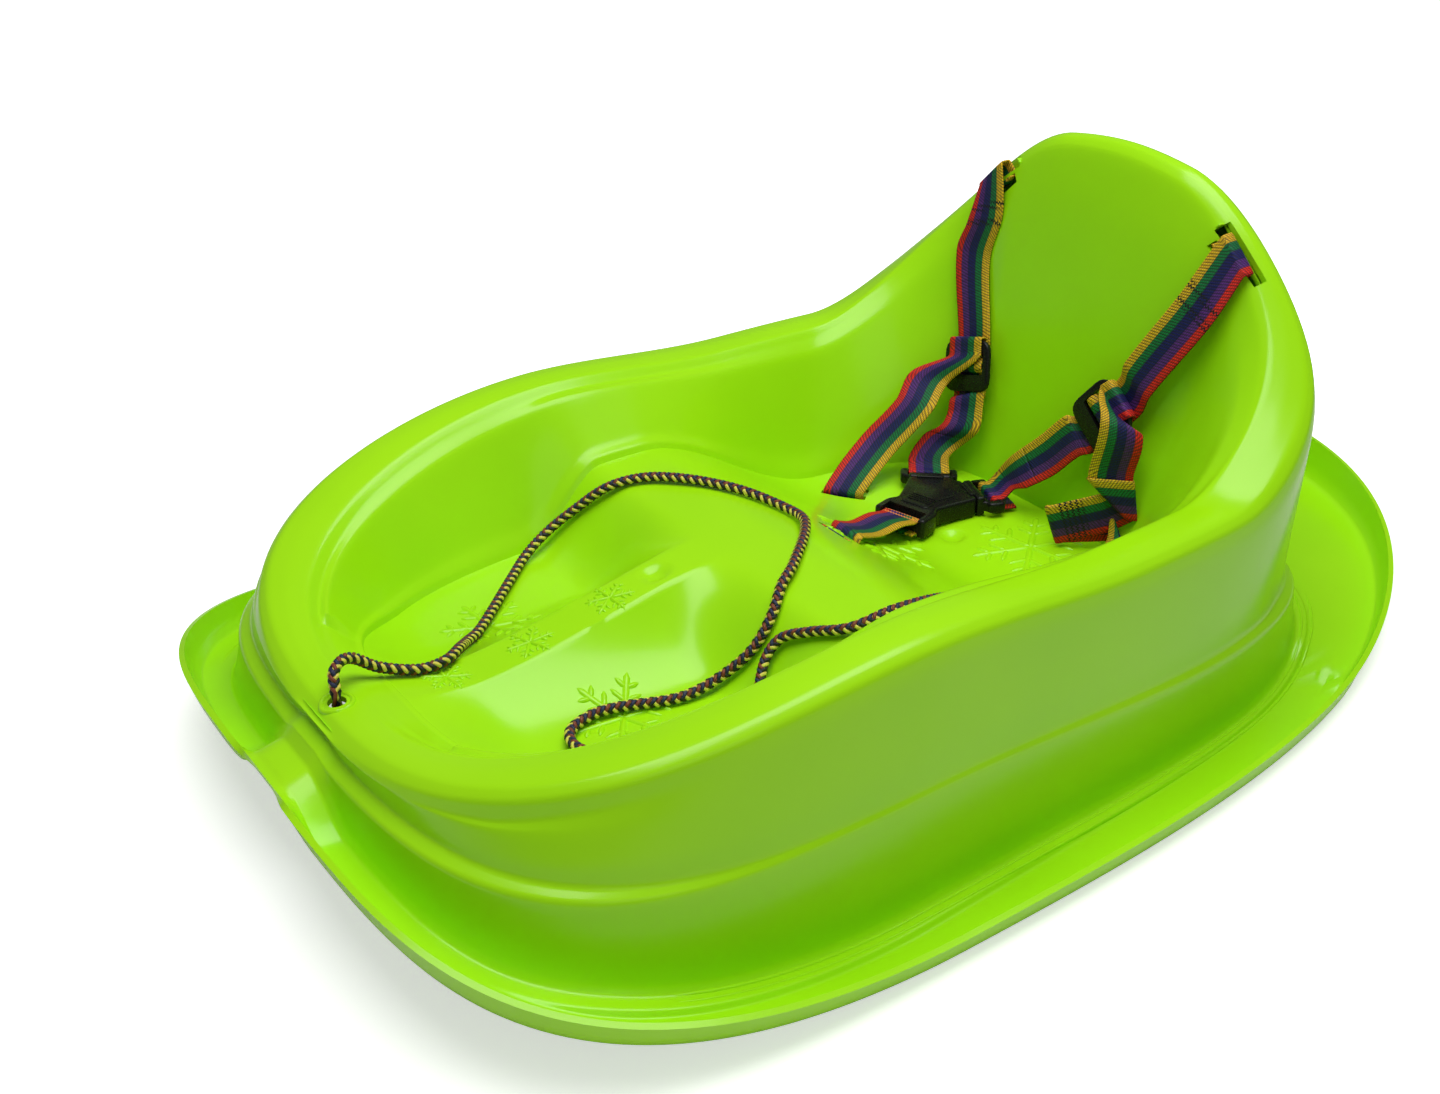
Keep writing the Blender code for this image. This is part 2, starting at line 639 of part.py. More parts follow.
def rim_edge(x):
    """Point on the inner edge of the backrest's rim at a distance x from the centre line."""
    edge = outlines()["rim_in"]
    stations = column_stations()
    for index in range(len(edge) - 1, 0, -1):
        if edge[index - 1].x >= x:
            share = (x - edge[index].x) / (edge[index - 1].x - edge[index].x)
            plan = edge[index].lerp(edge[index - 1], share)
            return Vector((x, plan.y, rim_height(mix(stations[index], stations[index - 1], share))))
    return Vector((x, edge[-1].y, BACKREST_HEIGHT))


def shoulder_seat(side):
    """Frame of the bar that a shoulder strap is looped round: x up, y along the rim, z to the front."""
    edge = rim_edge(SHOULDER_SLOT_X)
    along = rim_edge(SHOULDER_SLOT_X + SHOULDER_SPAN) - rim_edge(SHOULDER_SLOT_X - SHOULDER_SPAN)
    along.x *= side
    along.y = 0
    edge.x *= side
    up = along.cross(Vector((0, 1, 0)))
    if up.z < 0:
        up = -up
    if along.x < 0:
        along = -along
    edge += up.normalized() * -SHOULDER_BAR_SINK
    seat = frame(edge, up, along)
    if seat.col[2].y > 0:
        seat = frame(edge, up, -along)
    return seat


def floor_seat(x, y, angle):
    """Frame of a bar between two slots of the floor: x down, y along the slots, z to the front."""
    here = floor_height(x, y)
    rise = floor_height(x, y + SLOPE_PROBE) - floor_height(x, y - SLOPE_PROBE)
    slope = math.atan(rise / (2 * SLOPE_PROBE))
    down = Vector((0, math.sin(slope), -math.cos(slope)))
    along = Vector((math.cos(angle), math.sin(angle) * math.cos(slope), math.sin(angle) * math.sin(slope)))
    middle = Vector((x, y, here)) + down * (SHEET / 2)
    seat = frame(middle, down, along)
    if seat.col[2].y > 0:
        seat = frame(middle, down, -along)
    return seat


def waist_seat(side):
    return floor_seat(side * WAIST_SLOT_X, seat_back() - WAIST_SLOT_FROM_BACK, -side * WAIST_SLOT_ANGLE)


def crotch_seat():
    """The crotch strap comes from behind its bar, so this frame's z axis looks astern."""
    seat = floor_seat(0, hump_y() + CROTCH_BAR_FROM_HUMP, 0)
    return frame(seat.translation, seat.col[0].to_3d(), -seat.col[1].to_3d())


def slot_pair(seat, length, width, bar_width):
    """Cutters of the two slots that leave a bar between them."""
    cutters = []
    for side in (-1, 1):
        place = seat @ Matrix.Translation((0, 0, side * (bar_width + width) / 2))
        cutters.append(box(place, SHEET * 2.5, length / 2, width / 2))
    return cutters


def make_shell():
    """The moulded shell: a grid of profile points, mirrored, given the sheet's thickness, then cut."""
    rings = outlines()
    spine = spine_points(rings["floor"])
    stations = column_stations()
    grid = bmesh.new()
    rows = []
    for index, station in enumerate(stations):
        column = section(station, rings["lip"][index], rings["foot"][index], rings["rim_out"][index],
                         rings["rim_in"][index], rings["floor"][index], spine[index])
        rows.append([grid.verts.new(point) for point in column])
    for before, after in zip(rows, rows[1:]):
        for low in range(len(before) - 1):
            grid.faces.new((before[low], before[low + 1], after[low + 1], after[low]))
    bmesh.ops.remove_doubles(grid, verts=grid.verts, dist=1e-6)
    bmesh.ops.recalc_face_normals(grid, faces=grid.faces)
    if sum(face.normal.z for face in grid.faces) < 0:
        bmesh.ops.reverse_faces(grid, faces=grid.faces)
    mesh = bpy.data.meshes.new("shell")
    grid.to_mesh(mesh)
    grid.free()
    mesh.shade_smooth()
    shell = add_object("shell", mesh, make_material("green_plastic", GREEN, 0.2))
    mirror = shell.modifiers.new("mirror", "MIRROR")
    mirror.merge_threshold = 0.0001
    mirror.use_clip = True
    solid = shell.modifiers.new("sheet", "SOLIDIFY")
    solid.thickness = SHEET
    solid.offset = -1
    solid.use_even_offset = False

    ground = Matrix.Translation((0, 0, -SHEET))
    combine(shell, add_helper("cut_ground", box(ground, 1, 1, SHEET)), "DIFFERENCE")
    hole = tow_hole()
    ring = add_helper("form_tow_ring", disc(TOW_RING_WIDTH / 2, -SHEET / 2, TOW_RING_HEIGHT, hole, 32))
    combine(shell, ring, "UNION")
    cutters = [disc(TOW_HOLE_WIDTH / 2, -2 * SHEET, 2 * SHEET, hole, 24)]
    for side in (1, -1):
        seat = shoulder_seat(side)
        behind = seat @ Matrix.Translation((SHEET * 2, 0, -(SHEET / 2 + CLEARANCE + SHOULDER_SLOT_WIDTH / 2)))
        cutters.append(box(behind, SHEET * 4, SHOULDER_SLOT_LENGTH / 2, SHOULDER_SLOT_WIDTH / 2))
        below = seat @ Matrix.Translation((-(SHOULDER_BAR_HEIGHT + LOOP_SLOT_HEIGHT) / 2, 0, 0))
        cutters.append(box(below, LOOP_SLOT_HEIGHT / 2, FLOOR_SLOT_LENGTH / 2, SHEET * 1.5))
        cutters += slot_pair(waist_seat(side), FLOOR_SLOT_LENGTH, FLOOR_SLOT_WIDTH, FLOOR_BAR_WIDTH)
    cutters += slot_pair(crotch_seat(), FLOOR_SLOT_LENGTH, FLOOR_SLOT_WIDTH, FLOOR_BAR_WIDTH)
    for number, cutter in enumerate(cutters):
        combine(shell, add_helper("cut_%02d" % number, cutter), "DIFFERENCE")
    return shell


def buckle_place():
    """Frame of the buckle, which lies on the seat: x to its right, y toward the plugs, z up."""
    middle = Vector((BUCKLE_X, seat_back() - BUCKLE_FROM_BACK,
                     SEAT_HEIGHT + BUCKLE_THICKNESS / 2 + BUCKLE_LIFT))
    turn = Matrix.Rotation(BUCKLE_TURN, 4, "Z") @ Matrix.Rotation(-BUCKLE_TILT, 4, "X")
    return Matrix.Translation(middle) @ turn


def plug_place(side):
    """Frame of a plug: x outward along its slide, y across it, z up; side is 1 for the child's left."""
    return buckle_place() @ Matrix.Rotation(math.pi / 2 - side * PLUG_SPREAD, 4, "Z")


def make_buckle_body(black):
    """Female half of the buckle: two sockets for the plugs, and a ladder bar for the crotch strap."""
    place = buckle_place()
    half = BUCKLE_THICKNESS / 2
    mouth = []
    for across in (SOCKET_HALF_WIDTH + MOUTH_FLANGE, -SOCKET_HALF_WIDTH - MOUTH_FLANGE):
        local = Vector((MOUTH_RADIUS, across, 0))
        mouth.append(Matrix.Rotation(math.pi / 2 - PLUG_SPREAD, 3, "Z") @ local)
    inner, outer = mouth
    waist = SOCKET_HALF_WIDTH + MOUTH_FLANGE + BODY_WAIST_FLARE
    right = [(PLUG_FRAME_WIDTH / 2, -LADDER_LENGTH), (PLUG_FRAME_WIDTH / 2, -LADDER_LENGTH / 2),
             (waist - BODY_CORNER, -LADDER_LENGTH / 2 + BODY_CORNER), (waist, -BODY_CORNER),
             (outer.x, outer.y), (inner.x, inner.y)]
    outline = right + [(0, inner.y - BODY_NOTCH)] + [(-x, y) for x, y in reversed(right)]
    body = add_object("buckle_body", prism(outline, -half, half, place, BUCKLE_ROUNDING), black)
    cuts = []
    for side in (1, -1):
        deep = MOUTH_RADIUS - PLUG_TONGUE_START + CLEARANCE
        centre = plug_place(side) @ Matrix.Translation((MOUTH_RADIUS - deep / 2 + CUT_OVERRUN, 0, 0))
        cuts.append(box(centre, deep / 2 + CUT_OVERRUN, SOCKET_HALF_WIDTH, half - BUCKLE_WALL))
    slot_y = -LADDER_LENGTH + PLUG_BAR_WIDTH + PLUG_SLOT / 2
    cuts.append(box(place @ Matrix.Translation((0, slot_y, 0)), WEB_SLOT_LENGTH / 2, PLUG_SLOT / 2, half * 2))
    for level in (1, -1):
        shift = Matrix.Translation((0, -LADDER_LENGTH, level * (PLUG_BAR_HEIGHT / 2 + half)))
        cuts.append(box(place @ shift, WEB_SLOT_LENGTH / 2, PLUG_BAR_WIDTH + BAR_RELIEF, half))
    for number, cut in enumerate(cuts):
        combine(body, add_helper("cut_body_%d" % number, cut), "DIFFERENCE")
    return body


def make_plug(name, side, black):
    """Male half: a collar at the socket's mouth, two prongs inside it and a slotted frame."""
    place = plug_place(side)
    mouth = MOUTH_RADIUS + CLEARANCE
    half_width = SOCKET_HALF_WIDTH + MOUTH_FLANGE
    level = PLUG_FRAME_HEIGHT / 2
    outline = [(mouth + FRAME_CHAMFER, -half_width + FRAME_CHAMFER),
               (mouth + PLUG_COLLAR_WIDTH, -PLUG_FRAME_WIDTH / 2), (PLUG_REACH, -PLUG_FRAME_WIDTH / 2)]
    outline = outline + [(x, -y) for x, y in reversed(outline)]
    plug = add_object(name, prism(outline, -level, level, place, BUCKLE_ROUNDING * 0.7), black)
    shift = Matrix.Translation((mouth + PLUG_COLLAR_WIDTH / 2, 0, 0))
    collar = box(place @ shift, PLUG_COLLAR_WIDTH / 2, half_width, BUCKLE_THICKNESS / 2, BUCKLE_ROUNDING)
    combine(plug, add_helper("form_%s_collar" % name, collar), "UNION")
    half = BUCKLE_THICKNESS / 2 - BUCKLE_WALL - CLEARANCE
    prong_start = PLUG_TONGUE_START + CLEARANCE
    prong_end = mouth + PLUG_COLLAR_WIDTH * PRONG_ROOT
    for edge in (1, -1):
        width = PLUG_ARM_WIDTH / 2
        prong_side = SOCKET_HALF_WIDTH - CLEARANCE - width
        shift = Matrix.Translation(((prong_start + prong_end) / 2, edge * prong_side, 0))
        arm = box(place @ shift, (prong_end - prong_start) / 2, width, half, BUCKLE_ROUNDING / 2)
        combine(plug, add_helper("form_%s_%d" % (name, edge), arm), "UNION")
    slot_start = PLUG_REACH - PLUG_BAR_WIDTH - PLUG_SLOT
    slot = Matrix.Translation((slot_start + PLUG_SLOT / 2, 0, 0))
    cut = box(place @ slot, PLUG_SLOT / 2, WEB_SLOT_LENGTH / 2, level * 2)
    combine(plug, add_helper("cut_%s_slot" % name, cut), "DIFFERENCE")
    for above in (1, -1):
        shift = Matrix.Translation((PLUG_REACH, 0, above * (PLUG_BAR_HEIGHT / 2 + level)))
        cut = box(place @ shift, PLUG_BAR_WIDTH + BAR_RELIEF, WEB_SLOT_LENGTH / 2 - BAR_STAGGER, level)
        combine(plug, add_helper("cut_%s_bar_%d" % (name, above), cut), "DIFFERENCE")
    return plug


def panel_point(x, height, gap):
    """Point in front of the backrest: height above the seat, gap before the backrest's face."""
    edge = rim_edge(abs(x))
    share = height / (edge.z - SEAT_HEIGHT)
    return Vector((x, mix(seat_back(), edge.y, share) - gap, SEAT_HEIGHT + height))


def slider_place(side):
    """Frame of a strap slider: x up along the shoulder strap, y across it, z to the front."""
    if side > 0:
        return frame(panel_point(*SLIDER_LEFT), Vector(SLIDER_LEFT_UP), -Vector(SLIDER_LEFT_ACROSS))
    return frame(panel_point(*SLIDER_RIGHT), Vector(SLIDER_RIGHT_UP), -Vector(SLIDER_RIGHT_ACROSS))


def make_slider(name, side, black):
    """Three-bar slide: the waist strap hangs on its top bar, the shoulder strap weaves through it."""
    place = slider_place(side)
    half = SLIDER_THICKNESS / 2
    ring = box(place, SLIDER_HEIGHT / 2, SLIDER_WIDTH / 2, half, BUCKLE_ROUNDING)
    slider = add_object(name, ring, black)
    top = SLIDER_HEIGHT / 2 - SLIDER_TOP_BAR
    window = place @ Matrix.Translation((top - SLIDER_WINDOW / 2, 0, 0))
    cut = box(window, SLIDER_WINDOW / 2, WEB_SLOT_LENGTH / 2, SLIDER_THICKNESS)
    combine(slider, add_helper("cut_%s" % name, cut), "DIFFERENCE")
    back = place @ Matrix.Translation((0, 0, -half + SLIDER_CENTRE_BAR / 3))
    bar = box(back, SLIDER_CENTRE_BAR / 2, WEB_SLOT_LENGTH / 2 + CUT_OVERRUN, SLIDER_CENTRE_BAR / 3)
    combine(slider, add_helper("form_%s" % name, bar), "UNION")
    return slider


def at(place, x, z):
    """Station of a strap in a local frame, its width along the frame's y axis."""
    return place @ Vector((x, 0, z)), place.to_3x3() @ Vector((0, 1, 0))


def plug_hook(side):
    """The strap's end on a plug: in over the outer bar, down through the slot and back under the bar."""
    seat = plug_place(side) @ Matrix.Translation((PLUG_REACH - PLUG_BAR_WIDTH / 2, 0, 0))
    half_x = PLUG_BAR_WIDTH / 2
    half_z = PLUG_BAR_HEIGHT / 2
    turn = wrap(seat, half_x, half_z, ((-1, 1, 90, 180), (-1, -1, 180, 270)))
    return [at(seat, half_x, half_z + STRAP_GAP)] + turn + [at(seat, half_x + HOOK_TAIL, -half_z - STRAP_GAP)]


def floor_hook(seat):
    """The strap's end in the floor: down through one slot, round the bar and up into the other."""
    half_x = SHEET / 2
    half_z = FLOOR_BAR_WIDTH / 2
    turn = wrap(seat, half_x, half_z, ((1, 1, 90, 0), (1, -1, 0, -90)))
    lead = at(seat, -half_x - HOOK_LEAD, half_z + STRAP_GAP)
    return [lead] + turn + [at(seat, -half_x, -half_z - STRAP_GAP)]


def shoulder_hook(side):
    """The strap's end in the backrest: over the bar, down behind it and out again through the panel."""
    seat = shoulder_seat(side)
    half_x = SHOULDER_BAR_HEIGHT / 2
    half_z = SHEET / 2 + SHOULDER_BAR_SINK * 0.25
    turn = wrap(seat, half_x, half_z, ((1, 1, 90, 0), (1, -1, 0, -90), (-1, -1, -90, -180)))
    down, forward = SHOULDER_TAIL
    tail = at(seat, -half_x - down, half_z + STRAP_GAP + forward)
    return list(reversed([tail] + turn + [at(seat, -half_x - STRAP_GAP, half_z)]))


def slider_weave(side):
    """The shoulder strap in its slider: behind the top bar, over the centre bar, behind the lower bar."""
    place = slider_place(side)
    back = SLIDER_THICKNESS / 2 + STRAP_GAP
    behind_loop = back + WEB_THICKNESS + CLEARANCE
    top = SLIDER_HEIGHT / 2 - SLIDER_TOP_BAR
    front = -SLIDER_THICKNESS / 2 + SLIDER_CENTRE_BAR * 2 / 3 + STRAP_GAP
    half = SLIDER_CENTRE_BAR / 2
    return [at(place, SLIDER_HEIGHT / 2 + WEAVE_ENTRY, -behind_loop),
            at(place, top - WEAVE_BEND, -behind_loop),
            at(place, half + WEAVE_BEND, front), at(place, -half - WEAVE_BEND, front),
            at(place, -half - HOOK_LEAD, -back), at(place, -SLIDER_HEIGHT / 2 - HOOK_LEAD, -back)]


def slider_hook(side):
    """The waist strap's end on a slider: up the front, over the top bar and down behind it."""
    half_x = SLIDER_TOP_BAR / 2
    half_z = SLIDER_THICKNESS / 2
    seat = slider_place(side) @ Matrix.Translation((SLIDER_HEIGHT / 2 - half_x, 0, 0))
    turn = wrap(seat, half_x, half_z, ((1, 1, 90, 0), (1, -1, 0, -90)))
    lead = at(seat, -half_x - HOOK_LEAD, half_z + STRAP_GAP * 1.8)
    bend = at(seat, -half_x + WEAVE_BEND * 1.5, half_z + STRAP_GAP)
    end = at(seat, -half_x + WEAVE_BEND, -half_z - STRAP_GAP)
    return list(reversed([lead, bend] + turn + [end]))


def offsets(seat, keys):
    """Stations at hand-chosen offsets from a seat; each key holds an offset and a width direction."""
    return [(seat.translation + Vector(offset), Vector(width).normalized()) for offset, width in keys]


def make_straps(webbing):
    for side, name in ((1, "left"), (-1, "right")):
        panel = SHOULDER_LEFT_KEYS if side > 0 else SHOULDER_RIGHT_KEYS
        free = PLUG_LEFT_KEYS if side > 0 else PLUG_RIGHT_KEYS
        waist = WAIST_LEFT_KEYS if side > 0 else WAIST_RIGHT_KEYS
        upper = [(panel_point(*place), Vector(width).normalized()) for place, width in panel]
        bar = plug_place(side) @ Matrix.Translation((PLUG_REACH - PLUG_BAR_WIDTH / 2, 0, 0))
        lower = offsets(bar, free)
        make_ribbon("shoulder_strap_" + name,
                    shoulder_hook(side) + upper + slider_weave(side) + lower + plug_hook(side), webbing)
        seat = waist_seat(side)
        make_ribbon("waist_strap_" + name,
                    slider_hook(side) + offsets(seat, waist) + floor_hook(seat), webbing)
    place = buckle_place()
    right = place.to_3x3() @ Vector((1, 0, 0))
    back = place.to_3x3() @ Vector((0, -1, 0))
    ladder = frame(place @ Vector((0, -LADDER_LENGTH + PLUG_BAR_WIDTH / 2, 0)), back, right)
    half_x = PLUG_BAR_WIDTH / 2
    half_z = PLUG_BAR_HEIGHT / 2
    turn = wrap(ladder, half_x, half_z, ((-1, 1, 90, 180), (-1, -1, 180, 270)))
    end = at(ladder, half_x + WEAVE_ENTRY, -half_z - STRAP_GAP)
    tail = [at(ladder, half_x, half_z + STRAP_GAP)] + turn + [end]
    seat = crotch_seat()
    middle = offsets(seat, CROTCH_KEYS)
    make_ribbon("crotch_strap", list(reversed(tail)) + middle + floor_hook(seat), webbing)


def rope_points():
    """The rope's route, moved with the tow hole at its start and with the knee hump at its end."""
    points = []
    for x, y, z in ROPE_ROUTE:
        share = min(max((y - ROUTE_HOLE_Y) / (ROUTE_HUMP_Y - ROUTE_HOLE_Y), 0), 1)
        moved = mix(tow_hole().y - ROUTE_HOLE_Y, hump_y() - ROUTE_HUMP_Y, share)
        points.append(Vector((x, y + moved, z)))
    return points


def smooth_route(points, spacing):
    """Evenly spaced points on a smooth curve through the route's points."""
    directions = travel(points)
    dense = [points[0]]
    for index in range(len(points) - 1):
        span = (points[index + 1] - points[index]).length
        for step in range(1, 41):
            dense.append(hermite(points[index], directions[index] * span,
                                 points[index + 1], directions[index + 1] * span, step / 40))
    total = sum((after - before).length for before, after in zip(dense, dense[1:]))
    count = round(total / spacing)
    route = [dense[0]]
    travelled = 0.0
    for before, after in zip(dense, dense[1:]):
        length = (after - before).length
        while len(route) < count and travelled + length >= total * len(route) / count:
            share = (total * len(route) / count - travelled) / length
            route.append(before.lerp(after, share))
        travelled += length
    route.append(dense[-1])
    return route


def make_rope():
    """The tow rope as a plain tube from the knot under the bow rim to the knot at its free end."""
    points = rope_points()
    route = [points[0]] + smooth_route(points[1:], ROPE_WIDTH * 2.75)
    curve = bpy.data.curves.new("tow_rope", "CURVE")
    curve.dimensions = "3D"
    curve.bevel_depth = ROPE_WIDTH / 2
    curve.bevel_resolution = 2
    curve.use_fill_caps = True
    spline = curve.splines.new("POLY")
    spline.points.add(len(route) - 1)
    for point, place in zip(spline.points, route):
        point.co = (*place, 1)
    rope = bpy.data.objects.new("tow_rope", curve)
    bpy.context.scene.collection.objects.link(rope)
    black = make_material("rope_black", ROPE_BLACK, 0.85)
    curve.materials.append(black)
    return black


def make_knot(name, centre, half_width, half_height, material):
    """A tied knot as a rounded lump."""
    grid = bmesh.new()
    bmesh.ops.create_icosphere(grid, subdivisions=2, radius=1)
    bmesh.ops.scale(grid, vec=(half_width, half_width, half_height), verts=grid.verts)
    bmesh.ops.translate(grid, vec=centre, verts=grid.verts)
    mesh = bpy.data.meshes.new(name)
    grid.to_mesh(mesh)
    grid.free()
    mesh.shade_smooth()
    return add_object(name, mesh, material)


def main():
    for thing in list(bpy.data.objects):
        bpy.data.objects.remove(thing, do_unlink=True)
    make_shell()
    black = make_material("black_plastic", BLACK, 0.35)
    make_buckle_body(black)
    make_plug("buckle_plug_left", 1, black)
    make_plug("buckle_plug_right", -1, black)
    make_slider("strap_slider_left", 1, black)
    make_slider("strap_slider_right", -1, black)
    make_straps(make_material("webbing", WEBBING_BLUE, 0.8))
    rope = make_rope()
    under_rim = tow_hole() - Vector((0, 0, SHEET + CLEARANCE + ANCHOR_KNOT_HEIGHT / 2))
    make_knot("tow_rope_anchor_knot", under_rim, ANCHOR_KNOT_WIDTH / 2, ANCHOR_KNOT_HEIGHT / 2, rope)
    before, end = rope_points()[-2:]
    at_end = toward(end, end * 2 - before, END_KNOT_WIDTH / 2 + CLEARANCE)
    make_knot("tow_rope_end_knot", at_end, END_KNOT_WIDTH / 2, END_KNOT_WIDTH / 2, rope)


main()
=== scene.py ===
"""Looks of the toddler sled: the moulded shell, its webbing harness and buckle, and the braided tow rope.

Metres, in the frame of the CAD model. The bow points along -Y and the child's left side is +X.
"""
import json
import math

import bmesh
import bpy
from mathutils import Matrix, Vector
from mathutils.bvhtree import BVHTree

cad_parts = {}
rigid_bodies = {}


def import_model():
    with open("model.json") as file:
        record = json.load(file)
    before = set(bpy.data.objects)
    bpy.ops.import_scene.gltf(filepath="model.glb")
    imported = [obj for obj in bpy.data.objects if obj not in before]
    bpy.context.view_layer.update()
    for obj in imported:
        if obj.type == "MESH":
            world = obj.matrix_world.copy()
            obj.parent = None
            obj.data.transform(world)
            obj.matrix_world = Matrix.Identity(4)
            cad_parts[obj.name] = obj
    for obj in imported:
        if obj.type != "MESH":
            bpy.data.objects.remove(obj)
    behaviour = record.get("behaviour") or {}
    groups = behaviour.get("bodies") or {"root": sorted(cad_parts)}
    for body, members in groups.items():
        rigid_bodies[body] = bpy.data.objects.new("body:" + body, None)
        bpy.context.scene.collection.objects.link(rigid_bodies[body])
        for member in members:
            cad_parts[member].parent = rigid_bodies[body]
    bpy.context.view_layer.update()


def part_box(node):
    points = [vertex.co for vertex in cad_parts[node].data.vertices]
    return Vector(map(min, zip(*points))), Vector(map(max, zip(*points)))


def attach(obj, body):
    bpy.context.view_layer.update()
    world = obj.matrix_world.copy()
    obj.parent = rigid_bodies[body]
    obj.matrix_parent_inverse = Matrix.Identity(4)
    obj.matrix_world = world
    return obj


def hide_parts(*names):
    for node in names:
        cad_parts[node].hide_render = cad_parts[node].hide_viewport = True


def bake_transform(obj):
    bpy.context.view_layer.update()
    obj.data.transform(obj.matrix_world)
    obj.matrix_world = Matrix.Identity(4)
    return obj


# The two sides of the sled, and the camera that took the photograph
SIDES = ((1, "left"), (-1, "right"))
CAMERA_PLACE = (0.6354, -0.5330, 0.5337)
CAMERA_AZIMUTH = math.radians(55.096)
CAMERA_ELEVATION = math.radians(29.163)
CAMERA_ROLL = math.radians(-0.687)
CAMERA_LENS = 42.306
CAMERA_SENSOR = 36
CAMERA_NEAREST = 0.01

# Overall size of the moulded shell
SLED_LENGTH = 0.700
SLED_WIDTH = 0.462
BACKREST_HEIGHT = 0.268
SHEET = 0.003

# Heights of the rim round the tub
RIM_HEIGHT_BOW = 0.0915
RIM_HEIGHT_SIDE = 0.143
RIM_HEIGHT_HIP = 0.134

# Where along the sled, from 0 at the bow to 1 at the stern, heights change
BOW_RISE_END = (0.05, 0.5)
HIP_DIP = (0.5, 0.65)
ARCH_RISE = ((0.80, 0.73, 0.95), (0.20, 0.80, 1.0))
STERN_RISE = (0.75, 1)
UPSTAND_GROWTH = (0, 0.45)
LEDGE_FALL = (0.1, 0.4)
LEDGE_DROP = (0.5, 0.75)
STEP_START = (0.2, 0.3)
CHANNEL_START = (0.7, 0.8)

# Outer tray: lip, gutter and the step at the foot of the wall
LIP_HEIGHT = 0.017
LIP_RISE_BOW = 0.0505
LIP_RISE_STERN = 0.045
LIP_UPSTAND_BOW = 0.018
LIP_FLARE = 0.0035
DECK_STEP_HEIGHT = 0.005
DECK_STEP_FROM_STERN = 0.160
DECK_RISE = 0.029
GUTTER_STEP_WIDTH = 0.011
GUTTER_STEP_HEIGHT = 0.003
GUTTER_STEP_EDGE = 0.003
STEP_MOST = 0.4
GUTTER_ROUND = 0.004
GUTTER_ROUND_MOST = 0.3
GUTTER_SHARES = (0.36, 0.45)
LIP_BEND_SHARE = 0.35
DECK_STEP_SLOPE = 0.008
STEP_ROUND = 0.002
STEP_ROUND_MOST = 0.08
GROUND_FLAT = 0.0004

# Tub walls
FOOT_WIDTH = 0.388
FOOT_BOW_GAP = 0.023
FOOT_STERN_GAP = 0.116
LEDGE_HEIGHT = 0.068
LEDGE_BOW_RISE = 0.007
LEDGE_STERN_DROP = 0.014
LEDGE_WIDTH = 0.007
LEDGE_PLAN_SHARE = 0.30
LEDGE_DIP = 0.001
LEDGE_RISE = 0.002
LEDGE_CLEAR = 0.006
FOOT_ROUND = 0.005
FOOT_ROUND_MOST = 0.4
TUB_WIDTH = 0.370
TUB_BOW_GAP = 0.030
TUB_STERN_GAP = 0.146
RIM_WIDTH = 0.034
RIM_WIDTH_BOW = 0.027
RIM_WIDTH_STERN = 0.021
BACK_RECLINE_DEPTH = 0.040
SIDE_TAPER = 0.03
FOOT_TAPER = 0.05

# Points of the walls: share of the way in plan, then share of the height
LOWER_WALL = (0.75, 0.7)
UPPER_WALL = ((0.15, 0.22), (0.66, 0.55))
INNER_WALL_SHARES = (0.16, 0.40, 0.64, 0.84)

# Bends of the rim: distance in from its edge, drop below its crest and the largest share of the wall's height
RIM_BEND_OUT = ((0, 0.014, 0.4), (0.002, 0.005, 0.4), (0.007, 0.001, 0.4))
RIM_BEND_IN = ((0.006, 0.001, 0.1), (0.001, 0.006, 0.3))
LEAST_DROP = 0.004
SHALLOW_DROP = 0.02
SHALLOW_SHARE = 0.3
FLOOR_ROUND = 0.004
FLOOR_ROUND_MOST = 0.1

# Where each plan outline is widest, and how square its corners are at the bow and astern
LIP_WIDEST_Y = -0.1115
LIP_SQUARENESS = (3.6, 2.75)
FOOT_WIDEST_Y = -0.130
FOOT_SQUARENESS = (3.6, 5.0)
TUB_WIDEST_Y = -0.100
RIM_OUT_SQUARENESS = (2.9, 6.5)
RIM_IN_SQUARENESS = (2.7, 7.0)
FLOOR_SQUARENESS = (2.9, 4.5)

# Floor of the tub
FLOOR_WIDTH = 0.234
FLOOR_BOW_SETBACK = 0.0155
FLOOR_HEIGHT_BOW = 0.086
RIDGE_DIP = 0.004
RIDGE_DIP_END = 0.0415
HUMP_RISE_START = 0.0315
TROUGH_START = -0.0155
TROUGH_SLOPE_LENGTH = 0.062
TROUGH_END_GAP = 0.012
TROUGH_END_LENGTH = 0.052
HUMP_TOP_LENGTH = 0.015
RIDGE_HALF_WIDTH = 0.012
RIDGE_SLOPE = 0.046
RIDGE_SLOPE_POWER = 1.7
HUMP_HEIGHT = 0.105
HUMP_FROM_BACK = 0.223
TROUGH_HEIGHT = 0.065
SEAT_HEIGHT = 0.054
SEAT_FLOOR_LENGTH = 0.083
BACK_CHANNEL_X = 0.077
BACK_CHANNEL_DEPTH = 0.006
BACK_CHANNEL_HALF_WIDTH = 0.022
BACK_CHANNEL_FOOT = 0.6
BACK_CHANNEL_TOP = 0.4
SPINE_SETBACK = 0.02

# Rib that ties the lip to the tub at the bow
BOW_RIB_HALF_WIDTH = 0.012
BOW_RIB_SLOPE = 0.036
BOW_RIB_RISE = 0.006
BOW_RIB_SINK = 0.001
BOW_RIB_END = 0.25

# Fineness of the plan outlines, and how soon they reach their full taper
OUTLINE_STEPS = 240
TAPER_HASTE = 1.15

